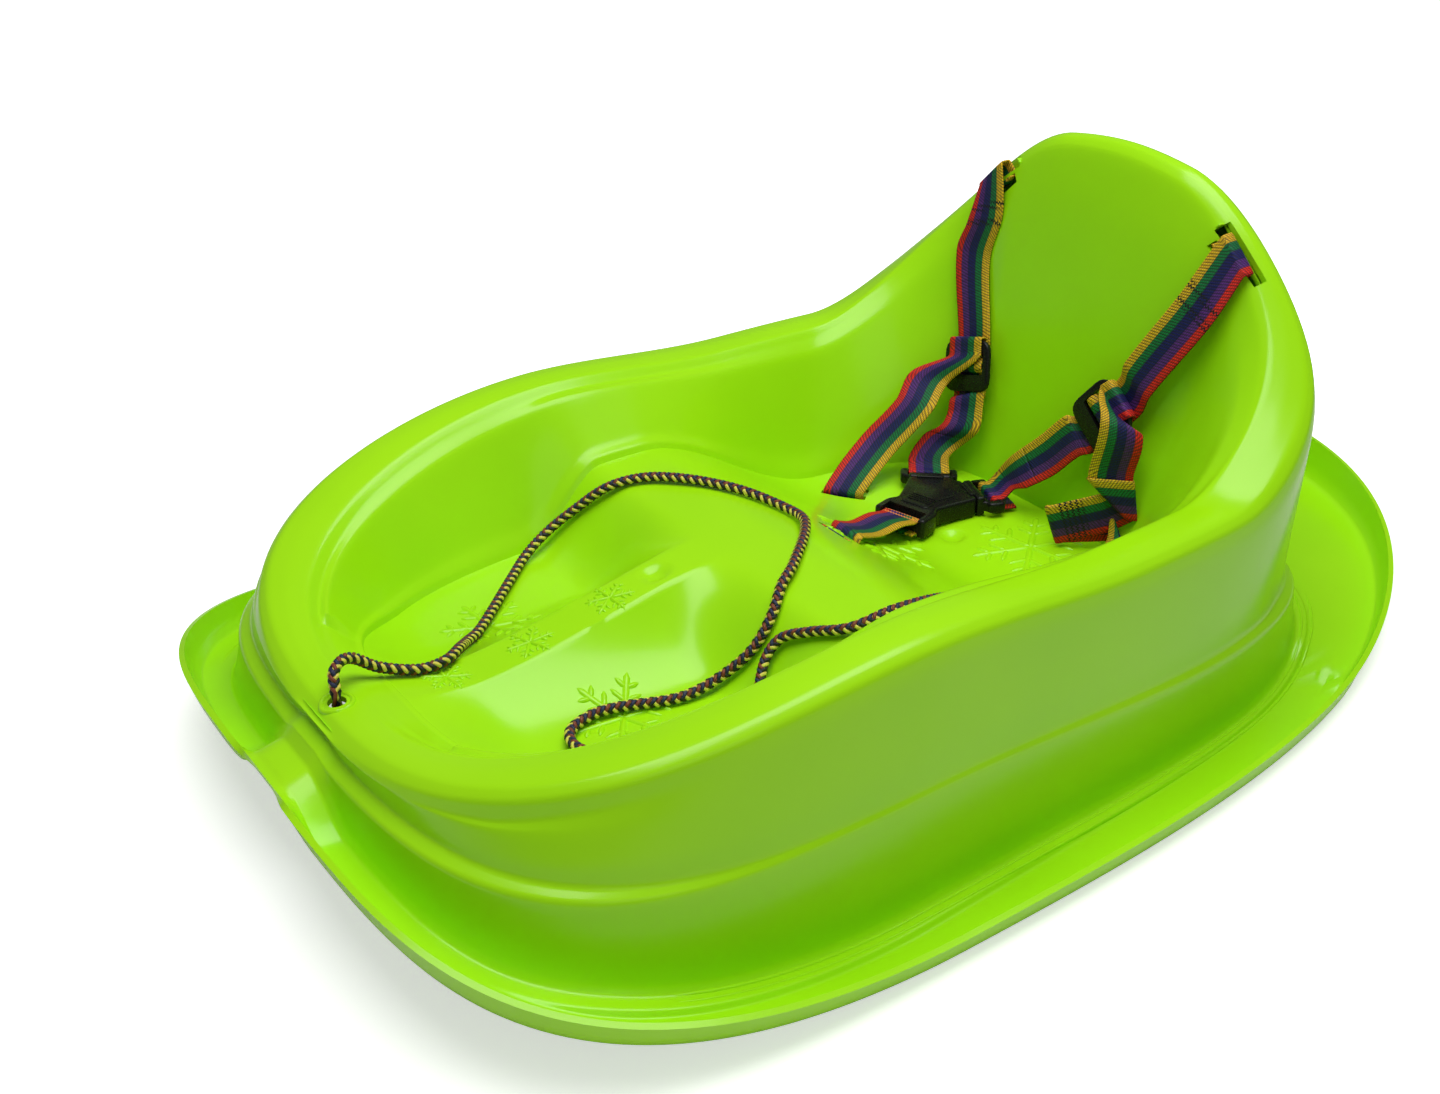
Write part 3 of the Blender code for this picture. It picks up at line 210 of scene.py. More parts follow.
# Where the columns of the shell's grid stand, as even shares of a quarter outline, and the floor's rows
FRONT_COUNT = 72
REAR_COUNT = 92
FLOOR_COUNT = 56
FRONT_COLUMNS = [step / FRONT_COUNT for step in range(FRONT_COUNT)]
REAR_COLUMNS = [step / REAR_COUNT for step in range(REAR_COUNT + 1)]
FLOOR_SHARES = [(step + 1) / FLOOR_COUNT for step in range(FLOOR_COUNT)]

# Play between touching pieces
CLEARANCE = 0.0003

# Webbing, and the slots that it is anchored in
WEB_WIDTH = 0.025
WEB_THICKNESS = 0.0014
WEB_SLOT_LENGTH = 0.0265
STRAP_GAP = WEB_THICKNESS / 2 + CLEARANCE * 1.6
STRAP_STEP = 0.0016
HOOK_TAIL = 0.009
CROTCH_TAIL = 0.004
SHOULDER_SLOT_X = 0.0918
SHOULDER_SLOT_LENGTH = 0.038
SHOULDER_SLOT_WIDTH = 0.006
SHOULDER_SLOT_SETBACK = SHEET / 2 + CLEARANCE + SHOULDER_SLOT_WIDTH / 2
SHOULDER_BAR_HEIGHT = 0.008
SHOULDER_BAR_SINK = 0.0035
BAR_SINK_SHARE = 0.25
SHOULDER_SPAN = 0.012
SHOULDER_TAIL = (0.012, 0.004)
LOOP_SLOT_HEIGHT = 0.006
FLOOR_SLOT_LENGTH = 0.0275
FLOOR_SLOT_WIDTH = 0.0045
FLOOR_BAR_WIDTH = 0.005
SLOPE_PROBE = 0.002
HOOK_LEAD = 0.003
WAIST_SLOT_X = 0.0805
WAIST_SLOT_FROM_BACK = 0.082
WAIST_SLOT_ANGLE = math.radians(39)
CROTCH_BAR_FROM_HUMP = 0.072

# How a strap turns round a bar: side of each corner in x and z, and the angles from which it bends to which
TURN_STEPS = 2
INNER_TURN = ((1, 1, 90, 0), (1, -1, 0, -90))
OUTER_TURN = ((-1, 1, 90, 180), (-1, -1, 180, 270))

# Cutters through the sheet: depth of the one for the tow hole, half the depth of those for the slots
TOW_CUT = 4 * SHEET
SHOULDER_CUT = 4 * SHEET
FLOOR_CUT = 2.5 * SHEET
LOOP_CUT = 1.5 * SHEET

# Three-way buckle
BUCKLE_THICKNESS = 0.012
BUCKLE_WALL = 0.002
BUCKLE_X = -0.029
BUCKLE_FROM_BACK = 0.0575
BUCKLE_LIFT = 0.0012
BUCKLE_TURN = math.radians(15)
BUCKLE_TILT = math.radians(1.6)
PLUG_SPREAD = math.radians(36)
MOUTH_RADIUS = 0.024
MOUTH_FLANGE = 0.0045
SOCKET_HALF_WIDTH = 0.0083
LADDER_LENGTH = 0.035
PLUG_TONGUE_START = 0.0120
PLUG_ARM_WIDTH = 0.0048
PLUG_REACH = 0.041
PLUG_FRAME_WIDTH = 0.035
PLUG_FRAME_HEIGHT = 0.0066
PLUG_COLLAR_WIDTH = 0.0052
PLUG_BAR_WIDTH = 0.0045
PLUG_BAR_HEIGHT = 0.0044
PLUG_SLOT = 0.0055
BODY_WAIST_FLARE = 0.006
BODY_LADDER_SHARE = 0.62
BODY_NECK = (0.005, 0.002)
BODY_CHEEK = (0.001, 0.004)
BODY_NOTCH = 0.002
CUT_OVERRUN = 0.002
BAR_RELIEF = 0.001
FRAME_CHAMFER = 0.001
PLUG_FRAME_FLARE = 0.002
PRONG_ROOT = 0.6
BAR_STAGGER = 0.0001

# Relief on the buckle: lips over its mouths, a raised shield and grip ribs
RELIEF_SINK = 0.001
MOUTH_LIP_WIDTH = 0.0028
MOUTH_LIP_RISE = 0.0009
SHIELD_SHARE = 0.55
SHIELD_SETBACK = 0.001
SHIELD_RISE = 0.0007
GRIP_COUNT = 4
GRIP_START = 0.44
GRIP_PITCH = 0.0022
GRIP_WIDTH = 0.001
GRIP_LENGTH = 0.016
GRIP_RISE = 0.0012

# Rounding of each moulding: of its outline's corners, then of its rims
BODY_ROUNDING = (0.0025, 0.0018)
LIP_ROUNDING = (0.001, 0.0004)
SHIELD_ROUNDING = (0.003, 0.0006)
GRIP_ROUNDING = (0.0004, 0.0002)
PLUG_ROUNDING = (0.0026, 0.0014)
COLLAR_ROUNDING = (0.0018, 0.0015)
PRONG_ROUNDING = (0.001, 0.0006)
SLIDER_ROUNDING = (0.0085, 0.0012)
WINDOW_ROUNDING = (0.002, 0.0002)
BAR_ROUNDING = (0.0002, 0.0005)
SLOT_LIP_ROUNDING = (0.0006, 0.0005)

# Strap sliders; a place is x, height above the seat and gap before the backrest, then its up and across
SLIDER_WIDTH = 0.035
SLIDER_HEIGHT = 0.032
SLIDER_THICKNESS = 0.0035
SLIDER_TOP_BAR = 0.0075
SLIDER_WINDOW = 0.014
SLIDER_CENTRE_BAR = 0.003
SLIDER_BAR_DEPTH = SLIDER_CENTRE_BAR * 2 / 3
WEAVE_ENTRY = 0.004
WEAVE_BEND = 0.001
HOOK_BEND_OUT = WEAVE_BEND * 1.5
HOOK_CLEAR = STRAP_GAP * 1.8
SLIDER_PLACES = {1: ((0.0464, 0.0764, 0.0155), (0.589, 0.204, 0.783), (0.80, -0.10, -0.56)),
                 -1: ((-0.068, 0.067, 0.0109), (-0.284, 0.247, 0.926), (0.951, 0.128, 0.28))}

# Free run of the crotch strap: offset from its bar, and direction of its width
CROTCH_KEYS = (((-0.0150, 0.046, -0.0110), (0.95, 0.25, 0)),
               ((-0.0100, 0.028, -0.0085), (0.97, 0.15, 0)),
               ((-0.0030, 0.012, -0.0010), (1, 0.05, 0)))

# Tow rope
ROPE_WIDTH = 0.006
TOW_HOLE_WIDTH = 0.009
TOW_HOLE_FORWARD = 0.0005
TOW_HOLE_SIDES = 48
TOW_RING_WIDTH = 0.015
TOW_RING_HEIGHT = 0.0012
TOW_RING_STROKE = 0.0014
TOW_RING_STEP = 9
ROUTE_STEPS = 40
KNOT_STEPS = 121
KNOT_DEPTH = 0.62
ROPE_ROUTE = (
    (0.0000, -0.3070, 0.0886), (0.0000, -0.3070, 0.0970), (-0.0050, -0.3045, 0.1045),
    (-0.0135, -0.2935, 0.1030), (-0.0130, -0.2790, 0.0925), (-0.0062, -0.2620, 0.0883),
    (-0.0068, -0.2480, 0.0876), (-0.0184, -0.2350, 0.0836), (-0.0330, -0.2240, 0.0757),
    (-0.0467, -0.2093, 0.0710), (-0.0861, -0.1695, 0.0686), (-0.1044, -0.1480, 0.0703),
    (-0.1074, -0.1323, 0.0780), (-0.1025, -0.1195, 0.0880), (-0.0872, -0.1020, 0.1055),
    (-0.0754, -0.0788, 0.1088), (-0.0434, -0.0509, 0.1069), (-0.0106, -0.0350, 0.1016),
    (0.0119, -0.0424, 0.1053), (0.0473, -0.0774, 0.1090), (0.0598, -0.0944, 0.1082),
    (0.0698, -0.1083, 0.0999), (0.0709, -0.1210, 0.0858), (0.0649, -0.1372, 0.0724),
    (0.0630, -0.1579, 0.0686), (0.0534, -0.1886, 0.0697), (0.0519, -0.2023, 0.0698),
    (0.0574, -0.2171, 0.0692), (0.0720, -0.2205, 0.0695), (0.0895, -0.2075, 0.0700),
    (0.1000, -0.1820, 0.0710), (0.1010, -0.1550, 0.0718), (0.0930, -0.1350, 0.0762),
    (0.0825, -0.1209, 0.0873), (0.0833, -0.1125, 0.0957), (0.0950, -0.1048, 0.1025),
    (0.1120, -0.0932, 0.1092), (0.1168, -0.0698, 0.1134), (0.1124, -0.0330, 0.1048),
    (0.1018, 0.0050, 0.0838))

# Colours, as linear values; the bands of the webbing start from its yellow edge, at shares of its width
GREEN_BRIGHT = (0.385, 0.825, 0.006)
GREEN_DEEP = (0.350, 0.785, 0.004)
BLACK = (0.004, 0.004, 0.004)
BLACK_WORN = (0.012, 0.012, 0.013)
WEB_BANDS = ((0, (1.0, 0.60, 0.015)), (0.20, (0.001, 0.23, 0.058)), (0.40, (0.006, 0.010, 0.14)),
             (0.62, (0.12, 0.026, 0.26)), (0.81, (1.0, 0.026, 0.010)))
WEB_GROUND = (0.008, 0.005, 0.012)
STITCH_DARK = (0.006, 0.005, 0.012)
STITCH_ORANGE = (0.75, 0.22, 0.05)
YARNS = (("yellow", (0.90, 0.80, 0.10)), ("black", (0.007, 0.007, 0.010)), ("red", (0.26, 0.050, 0.018)),
         ("blue", (0.016, 0.022, 0.085)))
YARN_DIM = 0.55

# Weave of the webbing; its seams are counted in stations from where they belong
RIB_PITCH = 0.0018
RIB_SLANT = 0.5
RIB_POWER = 0.6
RIB_UNEVEN = (0.3, 0.75)
THREAD_PITCH = 0.0011
THREAD_POWER = 0.35
GROUND_POWER = 0.6
BAND_JOINTS = (0.20, 0.40, 0.62, 0.815)
JOINT_HALF_WIDTH = 0.015
JOINT_DEPTH = 0.25
STITCH_PITCH = 0.0019
STITCH_SWING = STITCH_PITCH * 0.6
STITCH_LEVEL = 0.70
STITCH_ROW = 0.0032
SHOULDER_SEAMS = ((-5, -3), (1, 3))
CROTCH_SEAM = (9, 15)
RIBBON_COLUMNS = 16
EDGE_THINNING = 0.4
EDGE_POWER = 10

# Braid of the rope: half of its strands wind one way, half the other way; fibres of its yarns
HALF_BRAID = 4
BRAID_PITCH = 0.0104
BRAID_STEPS = 14
STRAND_WIDTH = 0.00102
STRAND_HEIGHT = 0.00078
STRAND_SIDES = 7
BRAID_RADIUS = 0.00176
BRAID_WAVE = 0.00044
FIBRE_UNITS_PER_METRE = 10
FIBRES_ALONG = 14.0
FIBRES_AROUND = 260.0

# Free runs of the straps where the photograph shows them: centre, and direction of the width
SHOULDER_RUNS = {
    1: (((0.0830, 0.1655, 0.2006), (0.87, 0.04, -0.49)), ((0.0620, 0.1500, 0.1560), (0.86, -0.06, -0.50))),
    -1: (((-0.0885, 0.1722, 0.2050), (0.93, 0.20, 0.25)), ((-0.0925, 0.1680, 0.1810), (0.98, 0.19, -0.02)))}
PLUG_RUNS = {
    1: (((0.0300, 0.1380, 0.1130), (0.62, -0.10, -0.78)), ((0.0150, 0.1340, 0.0955), (0.72, -0.15, -0.68)),
        ((-0.0010, 0.1290, 0.0800), (0.85, -0.30, -0.42)), ((-0.0115, 0.1290, 0.0700), (0.934, -0.358, 0))),
    -1: (((-0.0612, 0.1405, 0.1055), (0.80, 0.36, 0.45)), ((-0.0583, 0.1365, 0.0963), (0.86, 0.35, 0.38)),
         ((-0.0556, 0.1305, 0.0878), (0.92, 0.38, 0.05)), ((-0.0640, 0.1250, 0.0778), (0.74, 0.64, -0.19)),
         ((-0.0648, 0.1150, 0.0692), (0.629, 0.777, 0)))}
FAR_WAIST = (((-0.0823, 0.1280, 0.1131), (0.80, 0.57, -0.15)),
             ((-0.0784, 0.1120, 0.0991), (0.93, 0.33, -0.10)),
             ((-0.0844, 0.0880, 0.0757), (0.95, 0.22, -0.22)))
NEAR_WAIST = (((0.0680, 0.1345, 0.1330), (0.696, 0.600, -0.300)),)
NEAR_WAIST_LEG = (((0.0815, 0.1290, 0.0595), (0.95, -0.10, -0.20)),
                  ((0.0800, 0.0980, 0.0575), (0.93, -0.35, 0.0)))

# Folds of the near waist strap in an upright plane: place along it, height and depth, then half the width
FOLD_ORIGIN = (0.0655, 0.1329, 0.1017)
FOLD_ALONG = (0.690, 0.724, 0)
FOLD_ROUTE = (
    ((0.0, 0.003, 0.0), (1.0, 0.0)), ((0.0, -0.0125, 0.0), (1.0, -1.0)),
    ((-0.0006, -0.0131, 0.0009), (1.0, -1.0)), ((0.0, -0.0125, 0.0018), (1.0, -1.0)),
    ((0.0130, -0.0130, 0.0018), (0.165, -1.0)), ((0.0148, -0.0133, 0.0009), (0.165, -1.0)),
    ((0.0148, -0.0136, -0.0009), (0.165, -1.0)), ((0.0125, -0.0150, -0.0018), (0.25, -0.97)),
    ((-0.0010, -0.0235, -0.0018), (0.326, -0.944)), ((-0.0290, -0.0330, -0.0018), (0.326, -0.944)),
    ((-0.0303, -0.0336, -0.0027), (0.326, -0.944)), ((-0.0290, -0.0333, -0.0036), (0.326, -0.944)),
    ((0.0060, -0.0300, -0.0045), (0.25, -0.968)))
FOLD_SEAM = ((-0.0225, -0.0305, -0.0018), (-0.0113, -0.0270, -0.0018))

# Light of the studio
WORLD_LIGHT = 0.12
KEY_POWER = 22
KEY_PLACE = (0.12, 0.0, 1.5)
KEY_SIZE = (1.5, 1.0)
FILL_POWER = 1.6
FILL_PLACE = (1.5, -0.6, 1.0)
FILL_SIZE = (1.0, 1.0)
LAMP_TARGET = (0, 0, 0.05)
FLOOR_REACH = 6
FLOOR_GAP = 0.0005
FLOOR_GLOW = 0.56
GLOW_REACH = (0.36, 0.60)

# Snow crystals: x, y, length of an arm and turn; their twigs: share of the arm, and of its length
FLAKE_ARM = 0.013
FLAKES = ((0.0, -0.2515, FLAKE_ARM, 8), (0.0, -0.2050, FLAKE_ARM, 20), (0.0, -0.1580, FLAKE_ARM, 3),
          (-0.055, -0.199, 0.027, 6), (0.057, -0.187, 0.027, 24),
          (-0.003, 0.020, 0.036, 29), (0.037, 0.104, 0.036, 10))
TWIGS = ((0.42, 0.34), (0.70, 0.26))
TWIG_LEAN = 55
TWIG_WIDTH = 0.85

# Strokes of the relief, the floor's dimples and the lines along the gutter
FLAKE_STROKE = 0.0013
DOWN = Vector((0, 0, -1))
DIMPLES = ((0.0, -0.130), (0.0, 0.077))
DIMPLE_RADIUS = 0.0085
DIMPLE_DEPTH = 0.0028
DIMPLE_STEEPNESS = 1.6
GUTTER_LINE_SHARES = (0.10, 0.22)
GUTTER_LINE_WIDTH = 0.0016
GUTTER_LINE_HEIGHT = 0.0006
GUTTER_LINE_BOW = -0.25
GUTTER_LINE_STERN = 0.24
STROKE_HEIGHT = 0.0012
STROKE_STEP = 0.0012
STROKE_LEAST_STEPS = 4
STROKE_SHARES = (-1, -0.75, -0.4, 0, 0.4, 0.75, 1)
STROKE_SINK = 0.12
TAPER_POINTS = 3
TAPER_TIP = 0.3
STEEPEST = 3

# Lips round the shoulder slots
SLOT_LIP_WIDTH = 0.0013
SLOT_LIP_HEIGHT = 0.0018

# Fineness of the mouldings
CORNER_STEPS = 5
CORNER_MOST = 0.45
EDGE_SEGMENTS = 3
PROFILE_ROUNDING = 0.30
PROFILE_STEPS = 4
SAME_PLACE = 1e-6
LEVEL = 1e-7
MIRROR_MERGE = 0.0001
SHELL_SHARP = math.radians(40)
FITTING_SHARP = math.radians(35)


def floor_bow():
    """Where the tub's floor begins behind the bow, on the centre line."""
    return -SLED_LENGTH / 2 + TUB_BOW_GAP + RIM_WIDTH_BOW + FLOOR_BOW_SETBACK


def seat_back():
    """Where the seat's floor meets the backrest, on the centre line."""
    return SLED_LENGTH / 2 - TUB_STERN_GAP - RIM_WIDTH_STERN - BACK_RECLINE_DEPTH


def hump_y():
    """Where the knee hump between the leg troughs and the seat is highest."""
    return seat_back() - HUMP_FROM_BACK


def smoothstep(low, high, value):
    """Blend that runs smoothly from 0 at low to 1 at high."""
    share = min(max((value - low) / (high - low), 0.0), 1.0)
    return share * share * (3 - 2 * share)


def mix(first, second, share):
    return first + (second - first) * share


def toward(start, goal, distance):
    """Point at a distance from start in the direction of goal."""
    return start + (goal - start).normalized() * distance


def distances(points):
    """Length of a route up to each of its points."""
    lengths = [0.0]
    for before, after in zip(points, points[1:]):
        lengths.append(lengths[-1] + (after - before).length)
    return lengths


def quarter(half_width, middle_y, end_y, power, taper, shares):
    """Plan points of one quarter outline, from its widest point to its end on the centre line."""
    dense = []
    for step in range(OUTLINE_STEPS + 1):
        angle = math.pi / 2 * step / OUTLINE_STEPS
        across = math.cos(angle) ** (2 / power)
        along = math.sin(angle) ** (2 / power)
        narrow = 1 - taper * min(along * TAPER_HASTE, 1)
        dense.append(Vector((half_width * across * narrow, mix(middle_y, end_y, along))))
    dense[-1].x = 0
    lengths = distances(dense)
    points = []
    index = 0
    for share in shares:
        target = share * lengths[-1]
        while index < len(lengths) - 2 and lengths[index + 1] < target:
            index += 1
        part = (target - lengths[index]) / (lengths[index + 1] - lengths[index])
        points.append(dense[index].lerp(dense[index + 1], min(part, 1)))
    return points


def half_outline(half_width, middle_y, bow_y, stern_y, squareness, taper=0.0):
    """Plan points of the +X half outline, bow centre to stern centre, one for each column."""
    bow_power, stern_power = squareness
    front = quarter(half_width, middle_y, bow_y, bow_power, 0.0, [1 - s for s in reversed(FRONT_COLUMNS)])
    rear = quarter(half_width, middle_y, stern_y, stern_power, taper, REAR_COLUMNS)
    return front[::-1] + rear


def column_stations():
    """Station of each column: 0 at the bow centre, 0.5 at the widest point, 1 at the stern centre."""
    return [s / 2 for s in FRONT_COLUMNS] + [0.5 + s / 2 for s in REAR_COLUMNS]


def outlines():
    """The plan outlines that the shell's profile runs through."""
    bow = -SLED_LENGTH / 2
    stern = SLED_LENGTH / 2
    tub_bow = bow + TUB_BOW_GAP
    tub_stern = stern - TUB_STERN_GAP
    rim_bow = tub_bow + RIM_WIDTH_BOW
    rim_stern = tub_stern - RIM_WIDTH_STERN
    return {
        "lip": half_outline(SLED_WIDTH / 2 - SHEET, LIP_WIDEST_Y, bow + SHEET, stern - SHEET, LIP_SQUARENESS),
        "foot": half_outline(FOOT_WIDTH / 2, FOOT_WIDEST_Y, bow + FOOT_BOW_GAP, stern - FOOT_STERN_GAP,
                             FOOT_SQUARENESS, FOOT_TAPER),
        "rim_out": half_outline(TUB_WIDTH / 2, TUB_WIDEST_Y, tub_bow, tub_stern,
                                RIM_OUT_SQUARENESS, SIDE_TAPER),
        "rim_in": half_outline(TUB_WIDTH / 2 - RIM_WIDTH, TUB_WIDEST_Y, rim_bow, rim_stern,
                               RIM_IN_SQUARENESS, SIDE_TAPER),
        "floor": half_outline(FLOOR_WIDTH / 2, TUB_WIDEST_Y, floor_bow(), seat_back(),
                              FLOOR_SQUARENESS, SIDE_TAPER),
    }


def rim_height(station):
    side = mix(RIM_HEIGHT_BOW, RIM_HEIGHT_SIDE, smoothstep(0, 0.5, station))
    hip = mix(side, RIM_HEIGHT_HIP, smoothstep(*HIP_DIP, station))
    arch = sum(part * smoothstep(low, high, station) for part, low, high in ARCH_RISE)
    return mix(hip, BACKREST_HEIGHT, arch)


def lip_height(station):
    rise = LIP_RISE_BOW * (1 - smoothstep(*BOW_RISE_END, station))
    return LIP_HEIGHT + rise + LIP_RISE_STERN * smoothstep(*STERN_RISE, station)


def gutter_height(station, plan):
    """Top of the gutter floor: it lies on the ground amidships, rises at the bow and steps up astern."""
    upstand = mix(LIP_UPSTAND_BOW, LIP_HEIGHT - SHEET + GROUND_FLAT, smoothstep(*UPSTAND_GROWTH, station))
    floor = LIP_HEIGHT + LIP_RISE_BOW * (1 - smoothstep(*BOW_RISE_END, station)) - upstand
    deck_step = SLED_LENGTH / 2 - DECK_STEP_FROM_STERN
    floor += DECK_STEP_HEIGHT * smoothstep(deck_step, deck_step + DECK_STEP_SLOPE, plan.y)
    floor += DECK_RISE * smoothstep(*STERN_RISE, station)
    rib = 1 - smoothstep(BOW_RIB_HALF_WIDTH, BOW_RIB_HALF_WIDTH + BOW_RIB_SLOPE, abs(plan.x))
    if station > BOW_RIB_END:
        rib = 0
    inward = min(max((plan.y + SLED_LENGTH / 2) / FOOT_BOW_GAP, 0), 1)
    return mix(floor, lip_height(station) - BOW_RIB_SINK + BOW_RIB_RISE * inward, rib)


def floor_height(x, y):
    """Height of the tub's floor: a centre ridge between two leg troughs, a knee hump, then the seat."""
    along = y - floor_bow()
    ridge = FLOOR_HEIGHT_BOW - RIDGE_DIP * smoothstep(0, RIDGE_DIP_END, along)
    ridge = mix(ridge, HUMP_HEIGHT, smoothstep(HUMP_RISE_START, hump_y() - floor_bow(), along))
    seat_start = seat_back() - SEAT_FLOOR_LENGTH
    ridge = mix(ridge, SEAT_HEIGHT, smoothstep(hump_y() + HUMP_TOP_LENGTH, seat_start, y))
    level = min(max(1 - (abs(x) - RIDGE_HALF_WIDTH) / RIDGE_SLOPE, 0), 1)
    aside = 1 - level ** RIDGE_SLOPE_POWER
    start = smoothstep(TROUGH_START, TROUGH_START + TROUGH_SLOPE_LENGTH, along)
    trough_end = hump_y() - TROUGH_END_GAP
    end = smoothstep(trough_end - TROUGH_END_LENGTH, trough_end, y)
    return mix(ridge, TROUGH_HEIGHT, aside * start * (1 - end))


def section(station, lip, foot, rim_out, rim_in, floor, spine):
    """Profile of the sheet's upper face at one column, from the lip's edge in to the centre line."""
    rim = rim_height(station)
    edge = lip_height(station)
    floor_edge = floor_height(floor.x, floor.y)
    drop = max(rim - floor_edge, LEAST_DROP)
    ledge = LEDGE_HEIGHT + LEDGE_BOW_RISE * (1 - smoothstep(*LEDGE_FALL, station))
    ledge -= LEDGE_STERN_DROP * smoothstep(*LEDGE_DROP, station)
    rows = []

    def add(plan, height):
        rows.append(Vector((plan.x, plan.y, height)))

    def on_gutter(plan, extra=0.0):
        add(plan, gutter_height(station, plan) + extra)

    step = GUTTER_STEP_HEIGHT * smoothstep(*STEP_START, station)
    reach = (foot - lip).length
    step_width = min(GUTTER_STEP_WIDTH, reach * STEP_MOST)
    add(lip, edge)
    inner = toward(lip, foot, LIP_FLARE)
    add(inner, mix(gutter_height(station, inner), edge, LIP_BEND_SHARE))
    on_gutter(toward(lip, foot, min(LIP_FLARE + GUTTER_ROUND, reach * GUTTER_ROUND_MOST)))
    for share in GUTTER_SHARES:
        on_gutter(lip.lerp(foot, share))
    on_gutter(toward(foot, lip, step_width + min(STEP_ROUND, reach * STEP_ROUND_MOST)))
    on_gutter(toward(foot, lip, step_width), step)
    on_gutter(toward(foot, lip, GUTTER_STEP_EDGE), step)
    foot_base = gutter_height(station, foot) + step
    ledge = max(ledge, foot_base + LEDGE_CLEAR)
    lower = foot.lerp(rim_out, LEDGE_PLAN_SHARE)
    add(foot, min(foot_base + FOOT_ROUND, mix(foot_base, ledge, FOOT_ROUND_MOST)))
    across, share = LOWER_WALL
    add(foot.lerp(lower, across), mix(foot_base, ledge, share))
    add(lower, ledge - LEDGE_DIP)
    upper = toward(lower, rim_out, LEDGE_WIDTH)
    add(upper, ledge + LEDGE_RISE)
    for across, share in UPPER_WALL:
        add(upper.lerp(rim_out, across), mix(ledge, rim, share))
    for inward, below, most in RIM_BEND_OUT:
        add(toward(rim_out, rim_in, inward), rim - min(below, (rim - ledge) * most))
    add(rim_out.lerp(rim_in, 0.5), rim)
    for outward, below, most in RIM_BEND_IN:
        add(toward(rim_in, rim_out, outward), rim - min(below, drop * most))
    channel = 1 - smoothstep(0, BACK_CHANNEL_HALF_WIDTH, abs(floor.x - BACK_CHANNEL_X))
    channel *= BACK_CHANNEL_DEPTH * smoothstep(*CHANNEL_START, station)
    wall_top = rim if drop > SHALLOW_DROP else rim - drop * SHALLOW_SHARE
    for share in INNER_WALL_SHARES:
        plan = rim_in.lerp(floor, share)
        plan.y += channel * smoothstep(0, BACK_CHANNEL_TOP, share)
        add(plan, mix(wall_top, floor_edge, share))
    floor_in = floor.copy()
    floor_in.y += channel * BACK_CHANNEL_FOOT
    add(floor_in, floor_edge + min(FLOOR_ROUND, drop * FLOOR_ROUND_MOST))
    for share in FLOOR_SHARES:
        plan = floor.lerp(spine, share)
        add(plan, floor_height(plan.x, plan.y))
    return rows


def spine_points(floor):
    """Points on the centre line that the floor's rows close on, one for each column."""
    front = floor[0].y
    back = floor[-1].y
    points = []
    for plan in floor:
        share = (plan.y - front) / (back - front)
        points.append(Vector((0, mix(front + SPINE_SETBACK, back - SPINE_SETBACK, share))))
    return points


def mesh_of(grid, name):
    """The mesh of a grid, which is then freed."""
    mesh = bpy.data.meshes.new(name)
    grid.to_mesh(mesh)
    grid.free()
    return mesh


def shaded(mesh, sharp):
    """The mesh, shaded smooth but for edges that bend by more than an angle."""
    mesh.shade_smooth()
    mesh.set_sharp_from_angle(angle=sharp)
    return mesh


def skin(grid, rings, closed=True):
    """Faces that join each ring of vertices to the next; closed rings get faces at both ends too."""
    faces = []
    for before, after in zip(rings, rings[1:]):
        count = len(before) if closed else len(before) - 1
        for low in range(count):
            high = (low + 1) % len(before)
            faces.append(grid.faces.new((before[low], before[high], after[high], after[low])))
    if closed:
        faces += [grid.faces.new(end) for end in (rings[0], rings[-1])]
    return faces


def joined(meshes):
    """One mesh that holds several."""
    grid = bmesh.new()
    for mesh in meshes:
        grid.from_mesh(mesh)
    bmesh.ops.recalc_face_normals(grid, faces=grid.faces)
    return mesh_of(grid, "joined")


def frame(origin, x_axis, y_axis):
    """Matrix of a local frame with the given origin, x axis and y axis."""
    x_axis = x_axis.normalized()
    z_axis = x_axis.cross(y_axis).normalized()
    y_axis = z_axis.cross(x_axis)
    matrix = Matrix((x_axis, y_axis, z_axis)).transposed().to_4x4()
    matrix.translation = origin
    return matrix


def shifted(place, x, y, z):
    return place @ Matrix.Translation((x, y, z))


def rectangle(left, right, low, high):
    return [(left, low), (right, low), (right, high), (left, high)]


def bend(start, corner, end, steps):
    """Points of the curve that runs from start to end and is pulled toward the corner."""
    shares = [step / steps for step in range(steps + 1)]
    return [start.lerp(corner, share).lerp(corner.lerp(end, share), share) for share in shares]


def softened(outline, radius):
    """An outline with its corners turned into short curves."""
    soft = []
    for index, corner in enumerate(outline):
        corner = Vector(corner)
        before = Vector(outline[index - 1]) - corner
        after = Vector(outline[(index + 1) % len(outline)]) - corner
        start = corner + before.normalized() * min(radius, before.length * CORNER_MOST)
        end = corner + after.normalized() * min(radius, after.length * CORNER_MOST)
        soft += bend(start, corner, end, CORNER_STEPS)
    return soft


